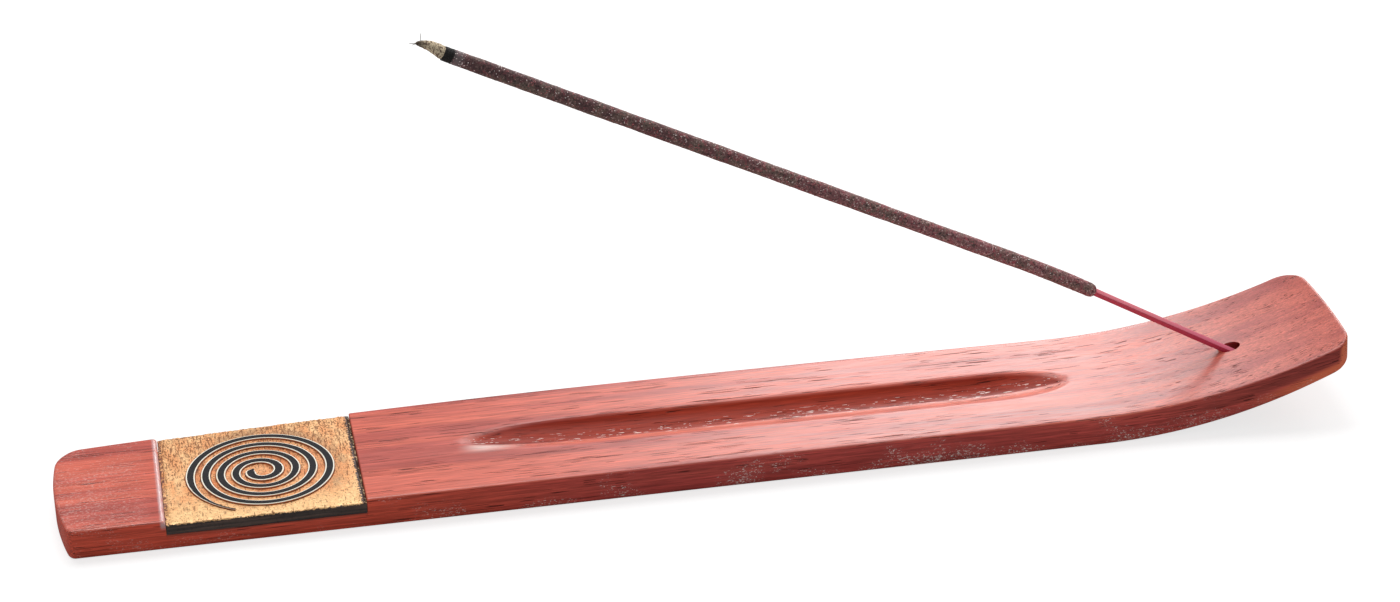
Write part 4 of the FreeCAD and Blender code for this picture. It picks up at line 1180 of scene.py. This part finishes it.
def make_sleeve_tree():
    """A section swept along rows of points, with ends that draw in and a rough skin."""
    inputs = {label: "Bool" if isinstance(start, bool) else "Float"
              for label, start in SLEEVE_DEFAULTS.items()}
    tree, given, out = new_geometry_tree("sleeve", {**inputs, "Material": "Material"})
    curve = grow(tree, "GeometryNodeMeshToCurve", {0: given["Geometry"]}).outputs[0]
    spacing = {0: curve, "Length": given["Step"]}
    curve = grow(tree, "GeometryNodeResampleCurve", spacing, mode="LENGTH").outputs[0]
    curve = grow(tree, "GeometryNodeSetCurveNormal", {0: curve}, mode="Z_UP").outputs[0]
    length = grow(tree, "GeometryNodeSplineLength").outputs[0]
    gone = grow(tree, "GeometryNodeSplineParameter").outputs["Length"]
    left = maths(tree, "SUBTRACT", length, gone)
    ends = product(tree, end_scale(tree, given, gone, given["Start run"], given["Start scale"]),
                   end_scale(tree, given, left, given["End run"], given["End scale"]))
    swell = product(tree, seeded_noise(tree, given, given["Swell size"], 1.0, 0.5), given["Swell"])
    width = product(tree, given["Radius"], ends, maths(tree, "ADD", 1.0, swell))
    sweep = {"Curve": curve, "Profile Curve": sleeve_section(tree, given), "Scale": width, "Fill Caps": True}
    swept = grow(tree, "GeometryNodeCurveToMesh", sweep).outputs[0]
    push = product(tree, seeded_noise(tree, given, given["Skin size"], 3.0, 0.6), given["Skin"])
    outward = grow(tree, "GeometryNodeInputNormal").outputs[0]
    offset = grow(tree, "ShaderNodeVectorMath", {0: outward, "Scale": push}, operation="SCALE").outputs[0]
    rough = grow(tree, "GeometryNodeSetPosition", {"Geometry": swept, "Offset": offset}).outputs[0]
    finish_tree(tree, rough, given["Material"], out)
    return tree


SLEEVE_TREE = make_sleeve_tree()
print("sleeve tree:", len(SLEEVE_TREE.nodes), "nodes")

# %% Sleeve pieces
LINE_POINTS = 60


def line_mesh(name, rows):
    """Rows of points, each joined by edges."""
    points, edges = [], []
    for row in rows:
        edges += [(len(points) + n, len(points) + n + 1) for n in range(len(row) - 1)]
        points += [tuple(point) for point in row]
    mesh = bpy.data.meshes.new(name)
    mesh.from_pydata(points, edges, [])
    return mesh


def stick_line(start, stop):
    """Points on the stick's line between two distances."""
    return [stick_way(start + (stop - start) * n / (LINE_POINTS - 1))[1] for n in range(LINE_POINTS)]


def stick_piece(name, rows, material, node, shape):
    """A sweep of the sleeve tree that rides on the stick."""
    values = {**SLEEVE_DEFAULTS, "Material": material, **shape}
    piece = dress(run_tree(name, SLEEVE_TREE, values, line_mesh(name, rows)), material, sharp=60.0)
    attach(piece, "stick")
    if node:
        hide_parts(node)
    return piece


print("points on each line:", LINE_POINTS)

# %% [markdown]
# The splint is dyed pink before the paste goes on, and the dye sits deeper near the hole. Its faces also
# carry painted light and shade: paler pink where they look up, crimson where they look down. The paste is
# purple-brown and granular, with pale flecks, and its lower end is rounded where it was dipped. It is
# painted paler towards that end, as painted light.

# %% Stick materials
# The pinks are the dye under painted light on faces that look up; the crimsons are the dye under painted
# shade on faces that look down.
DYE_PINK_PAINTED_LIGHT = (0.95, 0.27, 0.33)
DYE_CRIMSON_PAINTED_SHADE = (0.8, 0.1, 0.17)
DYE_PINK_DEEP_PAINTED_LIGHT = (0.84, 0.18, 0.23)
DYE_CRIMSON_DEEP_PAINTED_SHADE = (0.62, 0.06, 0.11)
DYE_MAGENTA = (0.62, 0.07, 0.2)
PASTE_LOW = (0.36, 0.14, 0.15)
PASTE_HIGH = (0.115, 0.05, 0.053)
PASTE_PALE = (0.85, 0.6, 0.56)
PASTE_OLIVE = (0.19, 0.14, 0.11)
PASTE_RUST = (0.46, 0.07, 0.1)
PASTE_PIT = (0.02, 0.011, 0.011)
PASTE_SCORCHED = (0.26, 0.22, 0.23)
ASH_GREY = (0.82, 0.68, 0.47)
ASH_BROWN = (0.2, 0.13, 0.09)
ASH_SOOT = (0.05, 0.032, 0.025)
CHAR_BLACK = (0.006, 0.005, 0.005)
CHAR_GREY = (0.07, 0.055, 0.05)
# The first pair is where painted light fades the paste from pale at its lower end to dark above.
PASTE_PAINTED_LIGHT_FADE, PASTE_CALM = (40.0, 170.0), (70.0, 165.0)
HOLE_DYE = (26.0, 9.0)


def along_stick(tree, place):
    """The distance from the splint's foot, measured along the slope, in millimetres."""
    parts = split(tree, place)
    back = maths(tree, "SUBTRACT", STICK_FOOT.x / MM, parts[0])
    rise = maths(tree, "SUBTRACT", parts[2], STICK_FOOT.z / MM)
    return maths(tree, "ADD", product(tree, back, math.cos(STICK_SLOPE)),
                 product(tree, rise, math.sin(STICK_SLOPE)))


def make_splint_material():
    """Dyed bamboo, magenta near the hole, with painted light and shade: salmon pink on faces that look up,
    crimson on faces that look down.
    """
    material, tree, shader, place = new_material("dyed splint", DYE_PINK_PAINTED_LIGHT)
    normal = split(tree, grow(tree, "ShaderNodeNewGeometry").outputs["Normal"])
    leaning = {"Vector": place, "Rotation": (0.0, STICK_SLOPE, 0.0)}
    fibre = grow(tree, "ShaderNodeMapping", leaning).outputs[0]
    streak = stretched_noise(tree, fibre, (7.0, 0.14, 0.14), 3.0, 0.6)
    dyed = fade(tree, streak, 0.35, 0.68)
    # Painted light and shade: pink where the faces look up, crimson where they look down.
    tone = blend(tree, fade(tree, normal[2], 0.2, 0.7), blend(tree, dyed, DYE_CRIMSON_PAINTED_SHADE, DYE_CRIMSON_DEEP_PAINTED_SHADE),
                 blend(tree, dyed, DYE_PINK_PAINTED_LIGHT, DYE_PINK_DEEP_PAINTED_LIGHT))
    low = fade(tree, along_stick(tree, place), *HOLE_DYE)
    tone = blend(tree, product(tree, low, 0.45), tone, DYE_MAGENTA)
    paint(tree, shader, tone, over_noise(tree, streak, 0.4, 0.6))
    bump(tree, shader, streak, 0.04 * MM, 0.6)
    return material


def make_paste_material():
    """Rolled wood-powder paste, paler towards its lower end as painted light, and greyed just under the
    char.
    """
    material, tree, shader, place = new_material("incense paste", PASTE_HIGH)
    char_from = CHAR_START / MM
    gone = along_stick(tree, place)
    # Painted light: the paste is paler towards its lower end.
    tone = blend(tree, fade(tree, gone, *PASTE_PAINTED_LIGHT_FADE), PASTE_LOW, PASTE_HIGH)
    grit = stretched_noise(tree, place, (0.42, 0.42, 0.42), 3.0, 0.7)
    blotch = stretched_noise(tree, place, (2.6, 2.6, 2.6), 2.0)
    rust = stretched_noise(tree, place, (0.9, 0.9, 0.9), 2.0, 0.6, (8.0, 2.0, 5.0))
    tone = blend(tree, fade(tree, blotch, 0.42, 0.62, 0.0, 0.65), tone, PASTE_OLIVE)
    calm = fade(tree, gone, *PASTE_CALM, 1.0, 0.45)
    tone = blend(tree, product(tree, fade(tree, rust, 0.52, 0.66, 0.0, 0.6), calm), tone, PASTE_RUST)
    tone = blend(tree, product(tree, fade(tree, grit, 0.57, 0.66, 0.0, 0.75), calm), tone, PASTE_PALE)
    tone = blend(tree, fade(tree, grit, 0.48, 0.36, 0.0, 0.85), tone, PASTE_PIT)
    tone = blend(tree, fade(tree, gone, char_from - 3.0, char_from - 1.4, 0.0, 0.5), tone, PASTE_SCORCHED)
    tone = blend(tree, fade(tree, gone, char_from - 0.9, char_from - 0.1, 0.0, 0.9), tone, CHAR_BLACK)
    paint(tree, shader, tone, over_noise(tree, grit, 0.65, 0.9))
    bump(tree, shader, grit, 0.12 * MM, 0.7)
    return material


def make_char_material():
    """Burnt paste, black and crumbling."""
    material, tree, shader, place = new_material("char", CHAR_BLACK)
    grit = stretched_noise(tree, place, (0.25, 0.25, 0.25), 3.0, 0.7)
    tone = blend(tree, fade(tree, grit, 0.5, 0.75), CHAR_BLACK, CHAR_GREY)
    paint(tree, shader, tone, over_noise(tree, grit, 0.75, 0.95))
    bump(tree, shader, grit, 0.15 * MM, 0.8)
    return material


def make_ash_material():
    """Pale ash with dark cracks, darker towards its tip."""
    material, tree, shader, place = new_material("ash", ASH_GREY)
    crack = stretched_noise(tree, place, (0.35, 0.5, 0.5), 4.0, 0.7)
    tone = blend(tree, fade(tree, crack, 0.42, 0.52), ASH_BROWN, ASH_GREY)
    tip = fade(tree, along_stick(tree, place), ASH_START / MM + 2.6, ASH_END / MM - 0.4, 0.0, 0.85)
    paint(tree, shader, blend(tree, tip, tone, ASH_SOOT), over_noise(tree, crack, 0.95, 0.85))
    bump(tree, shader, crack, 0.2 * MM, 0.8)
    return material


SPLINT_DYE = make_splint_material()
PASTE = make_paste_material()
CHAR = make_char_material()
ASH = make_ash_material()
print("stick materials:", SPLINT_DYE.name, PASTE.name, CHAR.name, ASH.name)

# %% [markdown]
# The pieces follow one another up the line. The ash bows off it a little, as a curl of ash does before it
# drops, so it has its own row of points.

# %% Stick pieces
COAT_RADIUS = 1.425 * MM
COAT_START = BARE_LENGTH + 0.8 * MM
SPLINT_END = CHAR_START - 6.0 * MM
SPLINT_ROLL = math.radians(-25.0)
JOIN = 0.12 * MM
ASH_ASIDE, ASH_TO_BACK = 0.4 * MM, 0.35


def ash_line():
    """The ash's own line: it bows off the stick's line and meets it again at the tip."""
    points = []
    for n in range(LINE_POINTS):
        share = n / (LINE_POINTS - 1)
        slope, spot = stick_way(ASH_START + (ASH_END - ASH_START) * share)
        aside = ASH_ASIDE * math.sin(math.pi * share)
        points.append(spot + Vector((math.sin(slope), ASH_TO_BACK, math.cos(slope))) * aside)
    return points


splint = stick_piece(
    "splint", [stick_line(0.0, SPLINT_END)], SPLINT_DYE, "stick_core",
    {"Radius": 0.59 * MM, "Squareness": True, "Roll": SPLINT_ROLL, "End scale": 0.6, "Seed": 4.0,
     "Swell": 0.08, "Swell size": 5.0 * MM, "Skin": 0.03 * MM, "Skin size": 1.2 * MM})
coat = stick_piece(
    "paste_coat", [stick_line(COAT_START, CHAR_START)], PASTE, "incense_coat",
    {"Radius": COAT_RADIUS, "Start scale": 0.6, "Start run": 1.5 * MM, "Seed": 2.0,
     "Swell": 0.16, "Swell size": 5.0 * MM, "Skin": 0.14 * MM, "Skin size": 0.7 * MM})
char = stick_piece(
    "char", [stick_line(CHAR_START - JOIN, ASH_START + JOIN)], CHAR, "char_band",
    {"Radius": COAT_RADIUS * 0.96, "Start scale": 0.93, "Start run": 0.4 * MM, "End scale": 0.9,
     "End run": 0.4 * MM, "Skin": 0.25 * MM, "Skin size": 0.5 * MM, "Seed": 6.0, "Step": 0.1 * MM})
ash = stick_piece(
    "ash_cone", [ash_line()], ASH, "ash_tip",
    {"Radius": COAT_RADIUS * 0.92, "Start scale": 0.95, "Start run": 0.5 * MM, "End scale": 0.1,
     "End run": 5.6 * MM, "Skin": 0.4 * MM, "Skin size": 0.6 * MM, "Seed": 9.0, "Step": 0.1 * MM,
     "Roundness": 0.55})
print("stick:", [len(piece.data.polygons) for piece in (splint, coat, char, ash)], "faces")

# %% [markdown]
# Fine threads of ash stand off the tip, and pale grains of resin and wood stand on the paste. The threads
# are thin sweeps of the sleeve tree. The grains are scattered by another tree, seeded, so that each run
# puts them in the same places.

# %% Ash threads
THREAD_POINTS = 8
THREAD_ROOT = 0.25 * MM
THREAD_SWAY = Vector((0.0, 0.3, -0.25))
THREADS = (
    (0.7 * MM, Vector((0.05, 0.0, 1.0)), 2.4 * MM), (0.0 * MM, Vector((-1.0, 0.1, 0.12)), 1.5 * MM),
    (0.1 * MM, Vector((-0.9, 0.3, -0.25)), 1.1 * MM), (0.5 * MM, Vector((0.7, 0.1, 0.7)), 1.0 * MM),
    (0.2 * MM, Vector((-0.7, -0.4, 0.5)), 0.9 * MM))


def thread_rows():
    """Short bent rows of points that start in the ash near its tip, each from (inset, way, length)."""
    line = ash_line()
    backward = (line[-12] - line[-1]).normalized()
    shares = [n / (THREAD_POINTS - 1) for n in range(THREAD_POINTS)]
    rows = []
    for inset, way, length in THREADS:
        start = line[-1] + backward * (inset + THREAD_ROOT)
        rows.append([start + way.normalized() * length * share + THREAD_SWAY * share * share * length
                     for share in shares])
    return rows


threads = stick_piece(
    "ash_threads", thread_rows(), ASH, None,
    {"Radius": 0.06 * MM, "Step": 0.15 * MM, "End scale": 0.3, "Start run": 0.5 * MM, "End run": 0.9 * MM})
print("threads:", len(threads.data.polygons), "faces")

# %% Paste grains
GRAIN_PALE, GRAIN_RUST = (1.0, 0.86, 0.82), (0.6, 0.13, 0.15)
GRAIN_LEAST, GRAIN_MOST = (0.5, 0.5, 0.3), (1.7, 1.2, 0.6)
GRAINS_PER_AREA = 1.2 / MM ** 2
GRAIN_SIZE = 0.105 * MM


def make_grain_tree():
    """Small grains scattered over a surface."""
    tree, given, out = new_geometry_tree("grains", {
        "Density": "Float", "Grain size": "Float", "Seed": "Int", "Material": "Material"})
    surface = {"Mesh": given["Geometry"], "Density": given["Density"], "Seed": given["Seed"]}
    scatter = grow(tree, "GeometryNodeDistributePointsOnFaces", surface).outputs
    ball = {"Radius": given["Grain size"], "Subdivisions": 1}
    grain = grow(tree, "GeometryNodeMeshIcoSphere", ball).outputs[0]
    shapes = {0: GRAIN_LEAST, 1: GRAIN_MOST, "Seed": given["Seed"]}
    stretch = grow(tree, "FunctionNodeRandomValue", shapes, data_type="FLOAT_VECTOR").outputs[0]
    places = {"Points": scatter["Points"], "Instance": grain, "Scale": stretch,
              "Rotation": scatter["Rotation"]}
    placed = grow(tree, "GeometryNodeInstanceOnPoints", places).outputs[0]
    finish_tree(tree, placed, given["Material"], out)
    return tree


def make_grain_material():
    """Pale and rusty grains."""
    material, tree, shader, place = new_material("paste grains", PASTE_PALE)
    kind = stretched_noise(tree, place, (1.3, 1.3, 1.3), 1.0)
    tone = blend(tree, fade(tree, kind, 0.46, 0.58), GRAIN_PALE, GRAIN_RUST)
    paint(tree, shader, tone, over_noise(tree, kind, 0.5, 0.75))
    return material


grain_paint = make_grain_material()
grain_values = {"Density": GRAINS_PER_AREA, "Grain size": GRAIN_SIZE, "Seed": 5, "Material": grain_paint}
grains = run_tree("paste_grains", make_grain_tree(), grain_values, coat.data.copy())
dress(grains, grain_paint)
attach(grains, "stick")
print("grains:", len(grains.data.polygons), "faces")

# %% [markdown]
# ## The stage
# A small product is often shown on a sweep of white paper. Plain white paint would come out grey here,
# so to the camera the floor glows a little under its own shading and still takes a shadow. Every other
# ray meets a plain, dimmer paper, which keeps the light on the board soft.

# %% Floor
FLOOR_SIZE = 4.0
FLOOR_Z = -5e-5
WHITE = (1.0, 1.0, 1.0)
PAPER = (0.55, 0.55, 0.55)
PAPER_SEEN = (0.38, 0.38, 0.38)
PAPER_GLOW = 0.74


def for_camera(tree, seen, others):
    """One shader for what the camera sees, and another for all other rays."""
    path = grow(tree, "ShaderNodeLightPath").outputs["Is Camera Ray"]
    return grow(tree, "ShaderNodeMixShader", {0: path, 1: others, 2: seen}).outputs[0]


def make_floor_material():
    """A pale sweep of paper that stays white to the camera and still takes a shadow."""
    material = bpy.data.materials.new("floor paper")
    material.use_nodes = True
    tree = material.node_tree
    tree.nodes.remove(tree.nodes["Principled BSDF"])
    paper = grow(tree, "ShaderNodeBsdfDiffuse", {"Color": PAPER}).outputs[0]
    shade = grow(tree, "ShaderNodeBsdfDiffuse", {"Color": PAPER_SEEN}).outputs[0]
    glow = grow(tree, "ShaderNodeEmission", {"Color": WHITE, "Strength": PAPER_GLOW}).outputs[0]
    lit = grow(tree, "ShaderNodeAddShader", {0: shade, 1: glow}).outputs[0]
    wire(tree, for_camera(tree, lit, paper), tree.nodes["Material Output"].inputs["Surface"])
    return material


floor_corners = [(x * FLOOR_SIZE, y * FLOOR_SIZE, FLOOR_Z) for x, y in ((-1, -1), (1, -1), (1, 1), (-1, 1))]
floor_mesh = bpy.data.meshes.new("floor")
floor_mesh.from_pydata(floor_corners, [], [(0, 1, 2, 3)])
floor_mesh.materials.append(make_floor_material())
floor = bpy.data.objects.new("floor", floor_mesh)
bpy.context.scene.collection.objects.link(floor)
print("floor:", 2 * FLOOR_SIZE, "m wide")

# %% [markdown]
# ## The light
# The sheen on the top and the dark front say that the light came from above and behind. Two large soft
# lamps give it, and a dim even world lifts the shadows. Small lamps would draw hard spots on the oiled
# wood.

# %% Lamps and world
WORLD_DIM = 0.33


def soft_box(name, place, aim, width, height, watts):
    """A large soft lamp that the camera can't see."""
    data = bpy.data.lights.new(name, "AREA")
    data.shape = "RECTANGLE"
    data.size = width
    data.size_y = height
    data.energy = watts
    lamp = bpy.data.objects.new(name, data)
    lamp.location = place
    lamp.rotation_euler = (Vector(aim) - Vector(place)).to_track_quat("-Z", "Y").to_euler()
    lamp.visible_camera = False
    bpy.context.scene.collection.objects.link(lamp)


def make_world():
    """White to the camera, a dim even light for the rest."""
    world = bpy.data.worlds.new("studio")
    world.use_nodes = True
    tree = world.node_tree
    tree.nodes.remove(tree.nodes["Background"])
    white = grow(tree, "ShaderNodeBackground", {"Color": WHITE, "Strength": 1.0}).outputs[0]
    dim = grow(tree, "ShaderNodeBackground", {"Color": WHITE, "Strength": WORLD_DIM}).outputs[0]
    wire(tree, for_camera(tree, white, dim), tree.nodes["World Output"].inputs["Surface"])
    bpy.context.scene.world = world


soft_box("key light", (-0.1, 0.45, 1.05), (0.0, 0.0, 0.0), 0.7, 0.5, 8.1)
soft_box("back light", (0.5, 1.0, 0.6), (0.03, 0.0, 0.0), 0.6, 0.46, 7.1)
make_world()
print("two lamps and a world at", WORLD_DIM)
